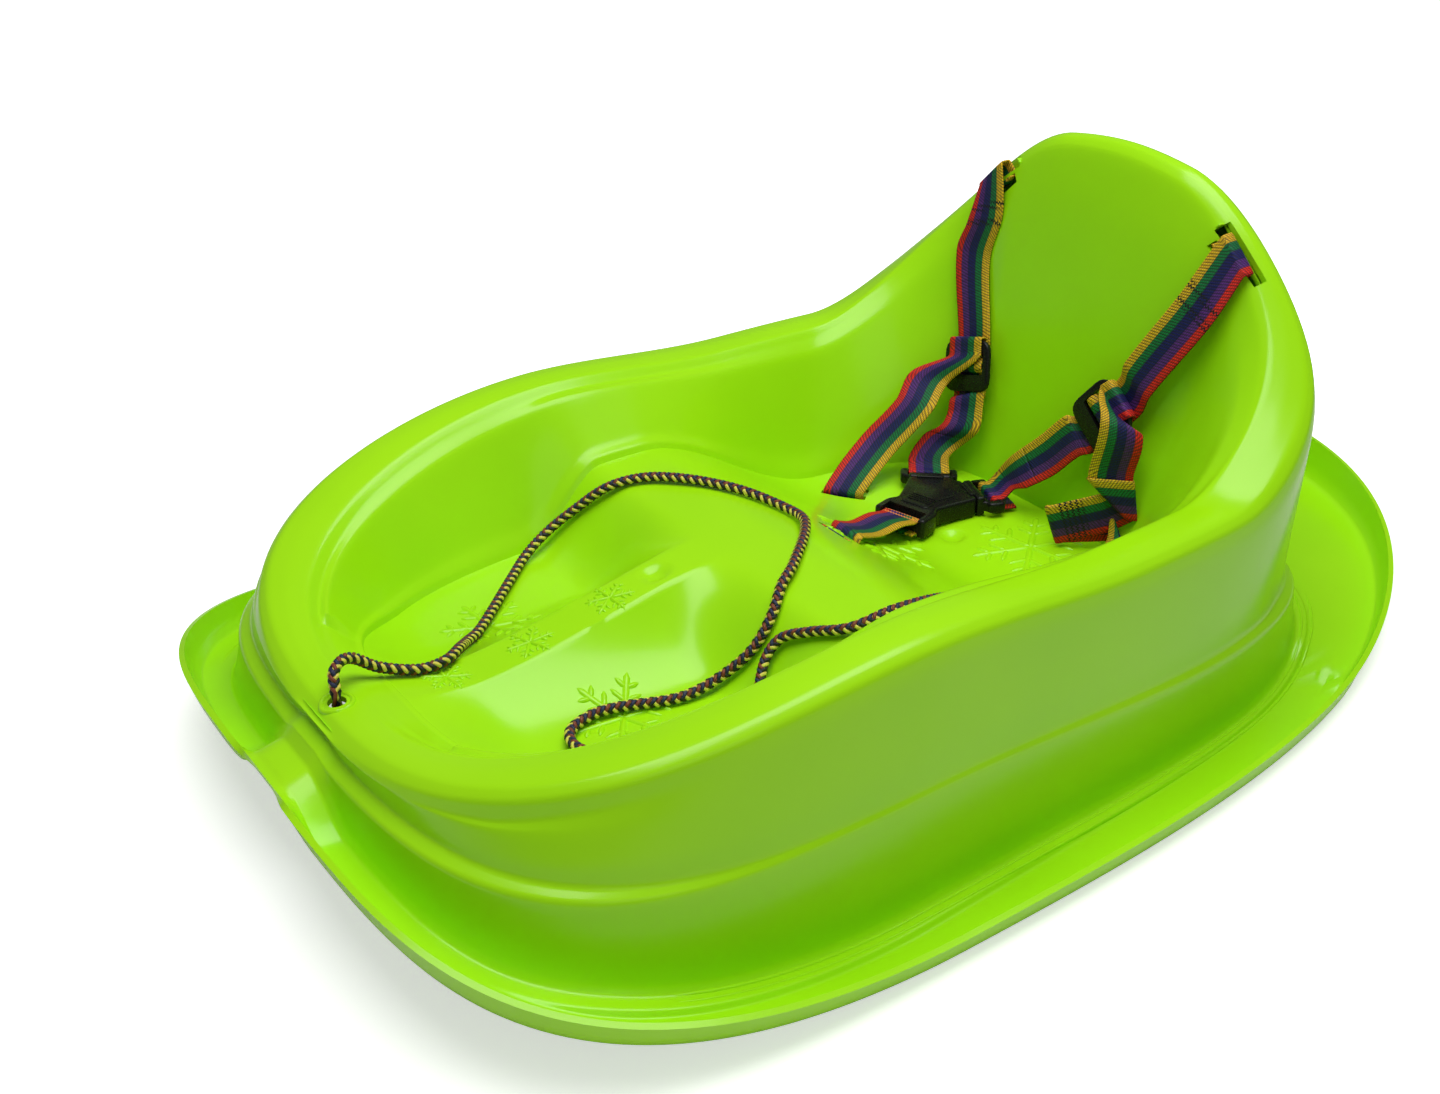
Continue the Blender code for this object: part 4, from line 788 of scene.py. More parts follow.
def extruded(outline, low, high, place, edge=0.0):
    """Closed solid between two copies of an outline in a local frame, with its rims rounded by edge."""
    grid = bmesh.new()
    face = grid.faces.new([grid.verts.new((x, y, low)) for x, y in outline])
    sides = bmesh.ops.extrude_face_region(grid, geom=[face])
    moved = [part for part in sides["geom"] if isinstance(part, bmesh.types.BMVert)]
    bmesh.ops.translate(grid, verts=moved, vec=(0, 0, high - low))
    bmesh.ops.recalc_face_normals(grid, faces=grid.faces)
    if edge:
        rims = [line for line in grid.edges if abs(line.verts[0].co.z - line.verts[1].co.z) < LEVEL]
        bmesh.ops.bevel(grid, geom=rims, offset=edge, segments=EDGE_SEGMENTS, profile=0.5, affect="EDGES")
    bmesh.ops.transform(grid, matrix=place, verts=grid.verts)
    bmesh.ops.recalc_face_normals(grid, faces=grid.faces)
    return mesh_of(grid, "solid")


def moulding(outline, low, high, place, rounding):
    """Closed solid between two copies of an outline; rounding is of its corners, then of its rims."""
    corner, edge = rounding
    return extruded(softened(outline, corner), low, high, place, edge)


def box(place, half_x, half_y, half_z):
    return extruded(rectangle(-half_x, half_x, -half_y, half_y), -half_z, half_z, place)


def placed(name, data):
    """A new object in the scene."""
    thing = bpy.data.objects.new(name, data)
    bpy.context.scene.collection.objects.link(thing)
    return thing


def applied(thing):
    """The mesh of an object with its modifiers applied; the object itself is removed."""
    graph = bpy.context.evaluated_depsgraph_get()
    mesh = bpy.data.meshes.new_from_object(thing.evaluated_get(graph))
    bpy.data.objects.remove(thing)
    return mesh


def cut_out(form, cutters):
    """The mesh of a form with the meshes of some cutters taken out of it."""
    thing = placed("form", form)
    helpers = [placed("cutter", mesh) for mesh in cutters]
    for helper in helpers:
        thing.modifiers.new("cut", "BOOLEAN").object = helper
    mesh = applied(thing)
    for helper in helpers:
        bpy.data.objects.remove(helper)
    return mesh


def same_way(stations):
    """The stations with each width direction turned to agree with the one before it."""
    turned = [stations[0]]
    for point, width in stations[1:]:
        if width.dot(turned[-1][1]) < 0:
            width = -width
        turned.append((point, width))
    return turned


def travel(points):
    """Direction of travel at each point of a route."""
    directions = []
    for index in range(len(points)):
        before = points[max(index - 1, 0)]
        after = points[min(index + 1, len(points) - 1)]
        directions.append((after - before).normalized())
    return directions


def hermite(start, start_pull, end, end_pull, share):
    square = share * share
    cube = square * share
    return (start * (2 * cube - 3 * square + 1) + start_pull * (cube - 2 * square + share)
            + end * (3 * square - 2 * cube) + end_pull * (cube - square))


def refine(stations):
    """Adds stations on a smooth curve wherever two stations of a strap lie far apart."""
    stations = same_way(stations)
    points = [point for point, width in stations]
    directions = travel(points)
    fine = [stations[0]]
    for index in range(len(points) - 1):
        span = (points[index + 1] - points[index]).length
        count = max(1, math.ceil(span / STRAP_STEP))
        for step in range(1, count + 1):
            share = step / count
            point = hermite(points[index], directions[index] * span,
                            points[index + 1], directions[index + 1] * span, share)
            width = stations[index][1].lerp(stations[index + 1][1], share).normalized()
            fine.append((point, width))
    return fine


def even(stations):
    """Adds stations in straight lines, keeping widths that stand aslant."""
    fine = [stations[0]]
    for (point, width), (next_point, next_width) in zip(stations, stations[1:]):
        count = max(1, math.ceil((next_point - point).length / STRAP_STEP))
        for step in range(1, count + 1):
            fine.append((point.lerp(next_point, step / count), width.lerp(next_width, step / count)))
    return fine


def nearest(stations, place):
    """Number of the station that lies nearest to a place."""
    return min(range(len(stations)), key=lambda index: (stations[index][0] - place).length)


def wrap(seat, half_x, half_z, corners):
    """Stations of a strap that is bent round a bar: the strap's width runs along the frame's y axis."""
    width = seat.to_3x3() @ Vector((0, 1, 0))
    stations = []
    for side_x, side_z, start, end in corners:
        for step in range(TURN_STEPS + 1):
            angle = math.radians(mix(start, end, step / TURN_STEPS))
            local = Vector((side_x * half_x + STRAP_GAP * math.cos(angle), 0,
                            side_z * half_z + STRAP_GAP * math.sin(angle)))
            stations.append((seat @ local, width))
    return stations


def at(place, x, z):
    """Station of a strap in a local frame, its width along the frame's y axis."""
    return place @ Vector((x, 0, z)), place.to_3x3() @ Vector((0, 1, 0))


def keyed(keys, origin=Vector((0, 0, 0))):
    """Stations at given offsets from an origin; each key holds an offset and a width direction."""
    return [(origin + Vector(offset), Vector(width).normalized()) for offset, width in keys]


def tow_hole():
    """Middle of the tow hole, on the crest of the bow rim."""
    crest = -SLED_LENGTH / 2 + TUB_BOW_GAP + RIM_WIDTH_BOW / 2
    return Vector((0, crest - TOW_HOLE_FORWARD, RIM_HEIGHT_BOW))


def rim_edge(x):
    """Point on the inner edge of the backrest's rim at a distance x from the centre line."""
    edge = outlines()["rim_in"]
    stations = column_stations()
    for index in range(len(edge) - 1, 0, -1):
        if edge[index - 1].x >= x:
            share = (x - edge[index].x) / (edge[index - 1].x - edge[index].x)
            plan = edge[index].lerp(edge[index - 1], share)
            return Vector((x, plan.y, rim_height(mix(stations[index], stations[index - 1], share))))
    return Vector((x, edge[-1].y, BACKREST_HEIGHT))


def facing_bow(origin, up, along):
    """Frame with x up and y along a line, whichever way along it brings z to the front."""
    seat = frame(origin, up, along)
    if seat.col[2].y > 0:
        seat = frame(origin, up, -along)
    return seat


def shoulder_seat(side):
    """Frame of the bar that a shoulder strap is looped round: x up, y along the rim, z to the front."""
    edge = rim_edge(SHOULDER_SLOT_X)
    along = rim_edge(SHOULDER_SLOT_X + SHOULDER_SPAN) - rim_edge(SHOULDER_SLOT_X - SHOULDER_SPAN)
    along.x *= side
    along.y = 0
    edge.x *= side
    up = along.cross(Vector((0, 1, 0)))
    if up.z < 0:
        up = -up
    return facing_bow(edge - up.normalized() * SHOULDER_BAR_SINK, up, along)


def floor_seat(x, y, angle):
    """Frame of a bar between two slots of the floor: x down, y along the slots, z to the front."""
    rise = floor_height(x, y + SLOPE_PROBE) - floor_height(x, y - SLOPE_PROBE)
    slope = math.atan(rise / (2 * SLOPE_PROBE))
    down = Vector((0, math.sin(slope), -math.cos(slope)))
    along = Vector((math.cos(angle), math.sin(angle) * math.cos(slope), math.sin(angle) * math.sin(slope)))
    return facing_bow(Vector((x, y, floor_height(x, y))) + down * (SHEET / 2), down, along)


def waist_seat(side):
    return floor_seat(side * WAIST_SLOT_X, seat_back() - WAIST_SLOT_FROM_BACK, -side * WAIST_SLOT_ANGLE)


def crotch_seat():
    """The crotch strap comes from behind its bar, so this frame's z axis looks astern."""
    seat = floor_seat(0, hump_y() + CROTCH_BAR_FROM_HUMP, 0)
    return frame(seat.translation, seat.col[0].to_3d(), -seat.col[1].to_3d())


def buckle_place():
    """Frame of the buckle, which lies on the seat: x to its right, y toward the plugs, z up."""
    middle = Vector((BUCKLE_X, seat_back() - BUCKLE_FROM_BACK,
                     SEAT_HEIGHT + BUCKLE_THICKNESS / 2 + BUCKLE_LIFT))
    turn = Matrix.Rotation(BUCKLE_TURN, 4, "Z") @ Matrix.Rotation(-BUCKLE_TILT, 4, "X")
    return Matrix.Translation(middle) @ turn


def plug_place(side):
    """Frame of a plug: x outward along its slide, y across it, z up; side is 1 for the child's left."""
    return buckle_place() @ Matrix.Rotation(math.pi / 2 - side * PLUG_SPREAD, 4, "Z")


def panel_point(x, height, gap):
    """Point in front of the backrest: height above the seat, gap before the backrest's face."""
    edge = rim_edge(abs(x))
    share = height / (edge.z - SEAT_HEIGHT)
    return Vector((x, mix(seat_back(), edge.y, share) - gap, SEAT_HEIGHT + height))


def slider_place(side):
    """Frame of a strap slider: x up along the shoulder strap, y across it, z to the front."""
    place, up, across = SLIDER_PLACES[side]
    return frame(panel_point(*place), Vector(up), -Vector(across))


def ladder_hook(seat, tail):
    """A strap's end on the bar of a plug or the buckle: over the bar, round it and back under it."""
    half_x = PLUG_BAR_WIDTH / 2
    half_z = PLUG_BAR_HEIGHT / 2
    turn = wrap(seat, half_x, half_z, OUTER_TURN)
    return [at(seat, half_x, half_z + STRAP_GAP)] + turn + [at(seat, half_x + tail, -half_z - STRAP_GAP)]


def floor_hook(seat):
    """The strap's end in the floor: down through one slot, round the bar and up into the other."""
    half_x = SHEET / 2
    half_z = FLOOR_BAR_WIDTH / 2
    lead = at(seat, -half_x - HOOK_LEAD, half_z + STRAP_GAP)
    return [lead] + wrap(seat, half_x, half_z, INNER_TURN) + [at(seat, -half_x, -half_z - STRAP_GAP)]


def shoulder_hook(side):
    """The strap's end in the backrest: from behind the panel, round the bar's back and over it."""
    seat = shoulder_seat(side)
    half_x = SHOULDER_BAR_HEIGHT / 2
    half_z = SHEET / 2 + SHOULDER_BAR_SINK * BAR_SINK_SHARE
    turn = wrap(seat, half_x, half_z, INNER_TURN + ((-1, -1, -90, -180),))
    down, forward = SHOULDER_TAIL
    tail = at(seat, -half_x - down, half_z + STRAP_GAP + forward)
    return [at(seat, -half_x - STRAP_GAP, half_z)] + turn[::-1] + [tail]


def slider_weave(side):
    """The shoulder strap in its slider: behind the top bar, over the centre bar, behind the lower bar."""
    place = slider_place(side)
    back = SLIDER_THICKNESS / 2 + STRAP_GAP
    behind_loop = back + WEB_THICKNESS + CLEARANCE
    top = SLIDER_HEIGHT / 2 - SLIDER_TOP_BAR
    front = -SLIDER_THICKNESS / 2 + SLIDER_BAR_DEPTH + STRAP_GAP
    half = SLIDER_CENTRE_BAR / 2
    return [at(place, SLIDER_HEIGHT / 2 + WEAVE_ENTRY, -behind_loop),
            at(place, top - WEAVE_BEND, -behind_loop),
            at(place, half + WEAVE_BEND, front), at(place, -half - WEAVE_BEND, front),
            at(place, -half - HOOK_LEAD, -back), at(place, -SLIDER_HEIGHT / 2 - HOOK_LEAD, -back)]


def slider_hook(side):
    """The waist strap's end on a slider: up behind it, over the top bar and down the front."""
    half_x = SLIDER_TOP_BAR / 2
    half_z = SLIDER_THICKNESS / 2
    seat = shifted(slider_place(side), SLIDER_HEIGHT / 2 - half_x, 0, 0)
    end = at(seat, -half_x + WEAVE_BEND, -half_z - STRAP_GAP)
    bend_out = at(seat, -half_x + HOOK_BEND_OUT, half_z + STRAP_GAP)
    lead = at(seat, -half_x - HOOK_LEAD, half_z + HOOK_CLEAR)
    return [end] + wrap(seat, half_x, half_z, INNER_TURN)[::-1] + [bend_out, lead]


def smooth_route(points, spacing):
    """Evenly spaced points on a smooth curve through the route's points."""
    directions = travel(points)
    dense = [points[0]]
    for index in range(len(points) - 1):
        span = (points[index + 1] - points[index]).length
        for step in range(1, ROUTE_STEPS + 1):
            dense.append(hermite(points[index], directions[index] * span,
                                 points[index + 1], directions[index + 1] * span, step / ROUTE_STEPS))
    lengths = distances(dense)
    total = lengths[-1]
    count = round(total / spacing)
    route = [dense[0]]
    for before, after, low, high in zip(dense, dense[1:], lengths, lengths[1:]):
        while len(route) < count and high >= total * len(route) / count:
            route.append(before.lerp(after, (total * len(route) / count - low) / (high - low)))
    route.append(dense[-1])
    return route


def shader_nodes(name):
    """A new material, its node tree and its main shader."""
    material = bpy.data.materials.new(name)
    material.use_nodes = True
    tree = material.node_tree
    return material, tree, tree.nodes["Principled BSDF"]


def feed(tree, made, inputs):
    """Fills a node's inputs, each with a value or with another node's output."""
    for key, value in inputs.items():
        if isinstance(value, bpy.types.NodeSocket):
            tree.links.new(value, made.inputs[key])
        else:
            made.inputs[key].default_value = value


def node(tree, kind, inputs, **attributes):
    """Outputs of a new shader node."""
    made = tree.nodes.new("ShaderNode" + kind)
    for key, value in attributes.items():
        setattr(made, key, value)
    feed(tree, made, inputs)
    return made.outputs


def calc(tree, operation, *values):
    return node(tree, "Math", dict(enumerate(values)), operation=operation)[0]


def times(tree, first, second):
    return calc(tree, "MULTIPLY", first, second)


def noise(tree, scale, detail):
    """Noise over the object, with features of about 1 / scale metres."""
    place = node(tree, "TexCoord", {})["Object"]
    return node(tree, "TexNoise", {"Vector": place, "Scale": scale, "Detail": detail})[0]


def between(tree, value, low, high):
    """A value from 0 to 1, brought between low and high."""
    return node(tree, "MapRange", {"Value": value, "To Min": low, "To Max": high})[0]


def mixed(tree, share, first, second):
    """Colour between two others."""
    return node(tree, "Mix", {"Factor": share, "A": first, "B": second}, data_type="RGBA")["Result"]


def ramp(tree, factor, stops, interpolation="LINEAR"):
    """Colour ramp through stops of (place, colour)."""
    made = node(tree, "ValToRGB", {0: factor})[0]
    curve = made.node.color_ramp
    curve.interpolation = interpolation
    while len(curve.elements) < len(stops):
        curve.elements.new(0.5)
    for element, (place, colour) in zip(curve.elements, stops):
        element.position = place
        element.color = (*colour, 1)
    return made


def bump(tree, height, distance, strength):
    return node(tree, "Bump", {"Height": height, "Distance": distance, "Strength": strength})[0]


def green_plastic():
    """Glossy moulded polyethylene: bright lime, a little waxy, with the faint ripple of a cooled moulding."""
    material, tree, shader = shader_nodes("green_plastic")
    feed(tree, shader, {
        "Base Color": ramp(tree, noise(tree, 9.0, 2.0), ((0.3, GREEN_DEEP), (0.7, GREEN_BRIGHT))),
        "Roughness": between(tree, noise(tree, 60.0, 3.0), 0.19, 0.27),
        "Normal": bump(tree, noise(tree, 26.0, 1.0), 0.0006, 0.35),
        "IOR": 1.5,
        "Specular IOR Level": 0.32,
        "Coat Weight": 0.05,
        "Coat Roughness": 0.08})
    return material


def black_plastic():
    """Satin black acetal with a fine moulded grain and edges worn a little paler."""
    material, tree, shader = shader_nodes("black_plastic")
    grain = noise(tree, 900.0, 2.0)
    edges = node(tree, "NewGeometry", {})["Pointiness"]
    feed(tree, shader, {
        "Base Color": ramp(tree, edges, ((0.50, BLACK), (0.60, BLACK_WORN))),
        "Roughness": between(tree, grain, 0.22, 0.34),
        "Normal": bump(tree, grain, 0.00008, 0.5),
        "Specular IOR Level": 0.22})
    return material


def wave(tree, value, pitch):
    """A sine wave between 0 and 1 along a length."""
    angle = times(tree, value, 2 * math.pi / pitch)
    return calc(tree, "MULTIPLY_ADD", calc(tree, "SINE", angle), 0.5, 0.5)


def weave_parts(tree):
    """The three numbers of the weave attribute, which says where on a band or a strand a point lies."""
    place = node(tree, "Attribute", {}, attribute_name="weave")["Vector"]
    return node(tree, "SeparateXYZ", {0: place})[:]


def woven_relief(tree, across, along):
    """Height of the weave: slanted cross ribs, cut into cords along the band and sunk where bands meet."""
    slanted = calc(tree, "MULTIPLY_ADD", across, WEB_WIDTH * RIB_SLANT, along)
    rib = calc(tree, "POWER", wave(tree, slanted, RIB_PITCH), RIB_POWER)
    cord = calc(tree, "POWER", wave(tree, times(tree, across, WEB_WIDTH), THREAD_PITCH), THREAD_POWER)
    uneven = calc(tree, "MULTIPLY_ADD", wave(tree, along, RIB_PITCH * 2), *RIB_UNEVEN)
    stops = []
    for middle in BAND_JOINTS:
        for aside, level in ((-JOINT_HALF_WIDTH, 1), (0, JOINT_DEPTH), (JOINT_HALF_WIDTH, 1)):
            stops.append((middle + aside, (level, level, level)))
    return times(tree, times(tree, times(tree, rib, cord), uneven), ramp(tree, across, stops))


def stitches(tree, across, along, sewn):
    """Where sewing thread lies: rows of a zigzag stitch across the band."""
    zigzag = wave(tree, times(tree, across, WEB_WIDTH), STITCH_PITCH)
    row = wave(tree, calc(tree, "MULTIPLY_ADD", zigzag, STITCH_SWING, along), STITCH_ROW)
    return times(tree, calc(tree, "GREATER_THAN", row, STITCH_LEVEL), calc(tree, "ABSOLUTE", sewn))


def webbing():
    """Rainbow webbing: five woven bands of cross ribs over a dark ground, and stitches where it is sewn."""
    material, tree, shader = shader_nodes("webbing")
    across, along, sewn = weave_parts(tree)
    relief = woven_relief(tree, across, along)
    bands = ramp(tree, across, WEB_BANDS, "CONSTANT")
    woven = mixed(tree, calc(tree, "POWER", relief, GROUND_POWER), (*WEB_GROUND, 1), bands)
    thread = ramp(tree, sewn, ((0.0, STITCH_ORANGE), (0.001, STITCH_DARK)), "CONSTANT")
    feed(tree, shader, {
        "Base Color": mixed(tree, stitches(tree, across, along, sewn), woven, thread),
        "Normal": bump(tree, relief, 0.00030, 0.8),
        "Roughness": 0.6,
        "Specular IOR Level": 0.3})
    return material


def yarn(name, colour):
    """Shiny polypropylene yarn with fine filaments that run along each strand."""
    material, tree, shader = shader_nodes("yarn_" + name)
    along, around = weave_parts(tree)[:2]
    lengthwise = times(tree, along, FIBRES_ALONG)
    stretched = node(tree, "CombineXYZ", {0: lengthwise, 1: times(tree, around, FIBRES_AROUND)})[0]
    fibres = node(tree, "TexNoise", {"Vector": stretched, "Scale": 1.0, "Detail": 3.0})[0]
    dim = [part * YARN_DIM for part in colour]
    feed(tree, shader, {
        "Base Color": ramp(tree, fibres, ((0.35, dim), (0.6, colour))),
        "Normal": bump(tree, fibres, 0.0002, 0.6),
        "Roughness": 0.45})
    return material


def floor_white():
    """White paper: it keeps the sled's soft shadow, and glows more the farther it lies from the sled."""
    material, tree, shader = shader_nodes("floor")
    place = node(tree, "NewGeometry", {})["Position"]
    reach = node(tree, "VectorMath", {0: place}, operation="LENGTH")["Value"]
    near, far = GLOW_REACH
    glow = node(tree, "MapRange", {"Value": reach, "From Min": near, "From Max": far, "To Min": FLOOR_GLOW,
                                   "To Max": 1.0}, interpolation_type="SMOOTHSTEP")[0]
    seen = node(tree, "LightPath", {})["Is Camera Ray"]
    feed(tree, shader, {
        "Base Color": (0.93, 0.93, 0.93, 1),
        "Roughness": 0.7,
        "Emission Color": (1, 1, 1, 1),
        "Emission Strength": times(tree, glow, seen)})
    return material


def place_camera():
    camera = placed("camera", bpy.data.cameras.new("camera"))
    turn = (Matrix.Rotation(CAMERA_AZIMUTH, 4, "Z") @ Matrix.Rotation(math.pi / 2 - CAMERA_ELEVATION, 4, "X")
            @ Matrix.Rotation(CAMERA_ROLL, 4, "Z"))
    camera.matrix_world = Matrix.Translation(CAMERA_PLACE) @ turn
    camera.data.lens = CAMERA_LENS
    camera.data.sensor_width = CAMERA_SENSOR
    camera.data.sensor_fit = "HORIZONTAL"
    camera.data.clip_start = CAMERA_NEAREST
    bpy.context.scene.camera = camera


def add_lamp(name, place, size, power):
    """Soft rectangular lamp that shines on the sled."""
    data = bpy.data.lights.new(name, "AREA")
    data.shape = "RECTANGLE"
    data.size, data.size_y = size
    data.energy = power
    lamp = placed(name, data)
    lamp.location = place
    lamp.rotation_euler = (Vector(LAMP_TARGET) - lamp.location).to_track_quat("-Z", "Y").to_euler()


def make_stage():
    """White world, pale floor and soft studio lamps."""
    scene = bpy.context.scene
    scene.view_settings.view_transform = "Standard"
    scene.world = bpy.data.worlds.new("studio")
    scene.world.use_nodes = True
    tree = scene.world.node_tree
    rays = node(tree, "LightPath", {})
    seen = calc(tree, "MAXIMUM", rays["Is Camera Ray"], rays["Is Transmission Ray"])
    feed(tree, tree.nodes["Background"], {
        "Color": (1, 1, 1, 1),
        "Strength": between(tree, seen, WORLD_LIGHT, 1.0)})
    add_lamp("key", KEY_PLACE, KEY_SIZE, KEY_POWER)
    add_lamp("fill", FILL_PLACE, FILL_SIZE, FILL_POWER)
    grid = bmesh.new()
    bmesh.ops.create_grid(grid, x_segments=1, y_segments=1, size=FLOOR_REACH)
    floor = placed("floor", mesh_of(grid, "floor"))
    floor.location.z = -FLOOR_GAP
    floor.data.materials.append(floor_white())


def piece(name, mesh, body, slot_name, replaced, *materials):
    """A shown piece of the object: it moves with a body and stands for some CAD nodes."""
    thing = placed(name, mesh)
    for material in materials:
        mesh.materials.append(material)
    if body:
        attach(thing, body)
    if replaced:
        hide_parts(*replaced)
    return thing


def rounded(rows):
    """A profile with each of its corners turned into a short curve."""
    smooth = [rows[0]]
    for before, corner, after in zip(rows, rows[1:], rows[2:]):
        start = corner.lerp(before, PROFILE_ROUNDING)
        smooth += bend(start, corner, corner.lerp(after, PROFILE_ROUNDING), PROFILE_STEPS)
    return smooth + [rows[-1]]


def dimpled(point):
    """Sinks a floor point that lies in one of the round finger dimples."""
    for x, y in DIMPLES:
        reach = math.hypot(point.x - x, point.y - y) / DIMPLE_RADIUS
        if reach < 1:
            point = point - Vector((0, 0, DIMPLE_DEPTH * smoothstep(0, 1, DIMPLE_STEEPNESS * (1 - reach))))
    return point


def shell_sheet():
    """The upper face of one half of the shell, as a grid of profile points."""
    rings = outlines()
    spine = spine_points(rings["floor"])
    grid = bmesh.new()
    rows = []
    for station, centre, *plans in zip(column_stations(), spine, *rings.values()):
        column = section(station, *plans, centre)
        wall = len(column) - len(FLOOR_SHARES)
        column = rounded(column[:wall + 1]) + column[wall + 1:]
        rows.append([grid.verts.new(dimpled(point)) for point in column])
    skin(grid, rows, closed=False)
    bmesh.ops.remove_doubles(grid, verts=grid.verts, dist=SAME_PLACE)
    bmesh.ops.recalc_face_normals(grid, faces=grid.faces)
    if sum(face.normal.z for face in grid.faces) < 0:
        bmesh.ops.reverse_faces(grid, faces=grid.faces)
    return mesh_of(grid, "shell")


def floor_slots(seat):
    """Cutters of the two slots that leave a bar of the floor between them."""
    aside = (FLOOR_BAR_WIDTH + FLOOR_SLOT_WIDTH) / 2
    return [box(shifted(seat, 0, 0, side * aside), FLOOR_CUT, FLOOR_SLOT_LENGTH / 2, FLOOR_SLOT_WIDTH / 2)
            for side in (-1, 1)]


def tow_cutter():
    """Cutter of the tow hole in the bow rim."""
    grid = bmesh.new()
    radius = TOW_HOLE_WIDTH / 2
    bmesh.ops.create_cone(grid, cap_ends=True, segments=TOW_HOLE_SIDES, radius1=radius, radius2=radius,
                          depth=TOW_CUT, matrix=Matrix.Translation(tow_hole()))
    return mesh_of(grid, "disc")


def shell_cutters():
    """Two meshes: one with the tow hole and the slots, one with the slots below the shoulder bars."""
    slots = [tow_cutter()]
    loops = []
    for side in (1, -1):
        seat = shoulder_seat(side)
        behind = shifted(seat, SHOULDER_CUT / 2, 0, -SHOULDER_SLOT_SETBACK)
        slots.append(box(behind, SHOULDER_CUT, SHOULDER_SLOT_LENGTH / 2, SHOULDER_SLOT_WIDTH / 2))
        below = shifted(seat, -(SHOULDER_BAR_HEIGHT + LOOP_SLOT_HEIGHT) / 2, 0, 0)
        loops.append(box(below, LOOP_SLOT_HEIGHT / 2, FLOOR_SLOT_LENGTH / 2, LOOP_CUT))
        slots += floor_slots(waist_seat(side))
    slots += floor_slots(crotch_seat())
    return joined(slots), joined(loops)


def make_shell(material):
    """The moulded shell, finer than its CAD solid, with the same profile and the same openings."""
    thing = placed("shell_form", shell_sheet())
    mirror = thing.modifiers.new("mirror", "MIRROR")
    mirror.merge_threshold = MIRROR_MERGE
    mirror.use_clip = True
    solid = thing.modifiers.new("sheet", "SOLIDIFY")
    solid.thickness = SHEET
    solid.offset = -1
    solid.use_even_offset = False
    mesh = shaded(cut_out(applied(thing), shell_cutters()), SHELL_SHARP)
    piece("shell_moulding", mesh, "sled", "green_plastic", ["shell"], material)
    make_relief(mesh, material)
    make_slot_lips(material)


def make_slot_lips(material):
    """Raised lips that stiffen the edges of the two shoulder slots."""
    lips = []
    half = SHOULDER_SLOT_LENGTH / 2
    edge = half + SLOT_LIP_WIDTH
    level = SHOULDER_SLOT_WIDTH / 2
    for side in (1, -1):
        behind = shifted(shoulder_seat(side), 0, 0, -SHOULDER_SLOT_SETBACK)
        for low, high in ((half, edge), (-edge, -half)):
            end = rectangle(-SLOT_LIP_WIDTH, SLOT_LIP_HEIGHT, low, high)
            lips.append(moulding(end, -level, level, behind, SLOT_LIP_ROUNDING))
        back = rectangle(-SLOT_LIP_WIDTH, SLOT_LIP_HEIGHT, -edge, edge)
        lips.append(moulding(back, -level - SLOT_LIP_WIDTH, -level, behind, SLOT_LIP_ROUNDING))
    piece("slot_lips", shaded(joined(lips), FITTING_SHARP), "sled", "green_plastic", [], material)


def ridge(grid, surface, path, half_width, height):
    """A rounded ridge that follows the shell below a path seen from above; it stops short of a hole."""
    before = None
    for index, (point, forward) in enumerate(zip(path, travel(path))):
        side = Vector((-forward.y, forward.x, 0))
        share = index / (len(path) - 1)
        taper = min(1, len(path) * min(share, 1 - share) / TAPER_POINTS + TAPER_TIP)
        hits = [surface.ray_cast(Vector((point.x, point.y, 1)) + side * offset * half_width * taper, DOWN)[:2]
                for offset in STROKE_SHARES]
        levels = [place.z for place, normal in hits if place]
        if len(levels) < len(hits) or max(levels) - min(levels) > STEEPEST * half_width:
            before = None
            continue
        ring = [grid.verts.new(place + normal * height * (taper * (1 - offset ** 2) - STROKE_SINK))
                for (place, normal), offset in zip(hits, STROKE_SHARES)]
        if before:
            skin(grid, (before, ring), closed=False)
        before = ring


def stroke(grid, surface, start, end, half_width):
    """A straight ridge between two places seen from above."""
    count = max(STROKE_LEAST_STEPS, round((end - start).length / STROKE_STEP))
    path = [start.lerp(end, step / count) for step in range(count + 1)]
    ridge(grid, surface, path, half_width, STROKE_HEIGHT)


def heading(angle):
    """Direction in plan, from an angle in degrees."""
    return Vector((math.cos(math.radians(angle)), math.sin(math.radians(angle))))


def flake(grid, surface, x, y, arm, turn):
    """A six-armed snow crystal with two pairs of twigs on each arm."""
    middle = Vector((x, y))
    half_width = FLAKE_STROKE * (arm / FLAKE_ARM) ** 0.5
    for angle in range(turn, turn + 360, 60):
        stroke(grid, surface, middle, middle + heading(angle) * arm, half_width)
        for share, reach in TWIGS:
            root = middle + heading(angle) * arm * share
            for lean in (-TWIG_LEAN, TWIG_LEAN):
                twig = root + heading(angle + lean) * arm * reach
                stroke(grid, surface, root, twig, half_width * TWIG_WIDTH)


def gutter_line(share):
    """Path along one side of the gutter, at a share of the way from the wall's foot to the lip."""
    rings = outlines()
    path = [foot.lerp(lip, share) for foot, lip in zip(rings["foot"], rings["lip"])]
    return [point for point in path if GUTTER_LINE_BOW < point.y < GUTTER_LINE_STERN]


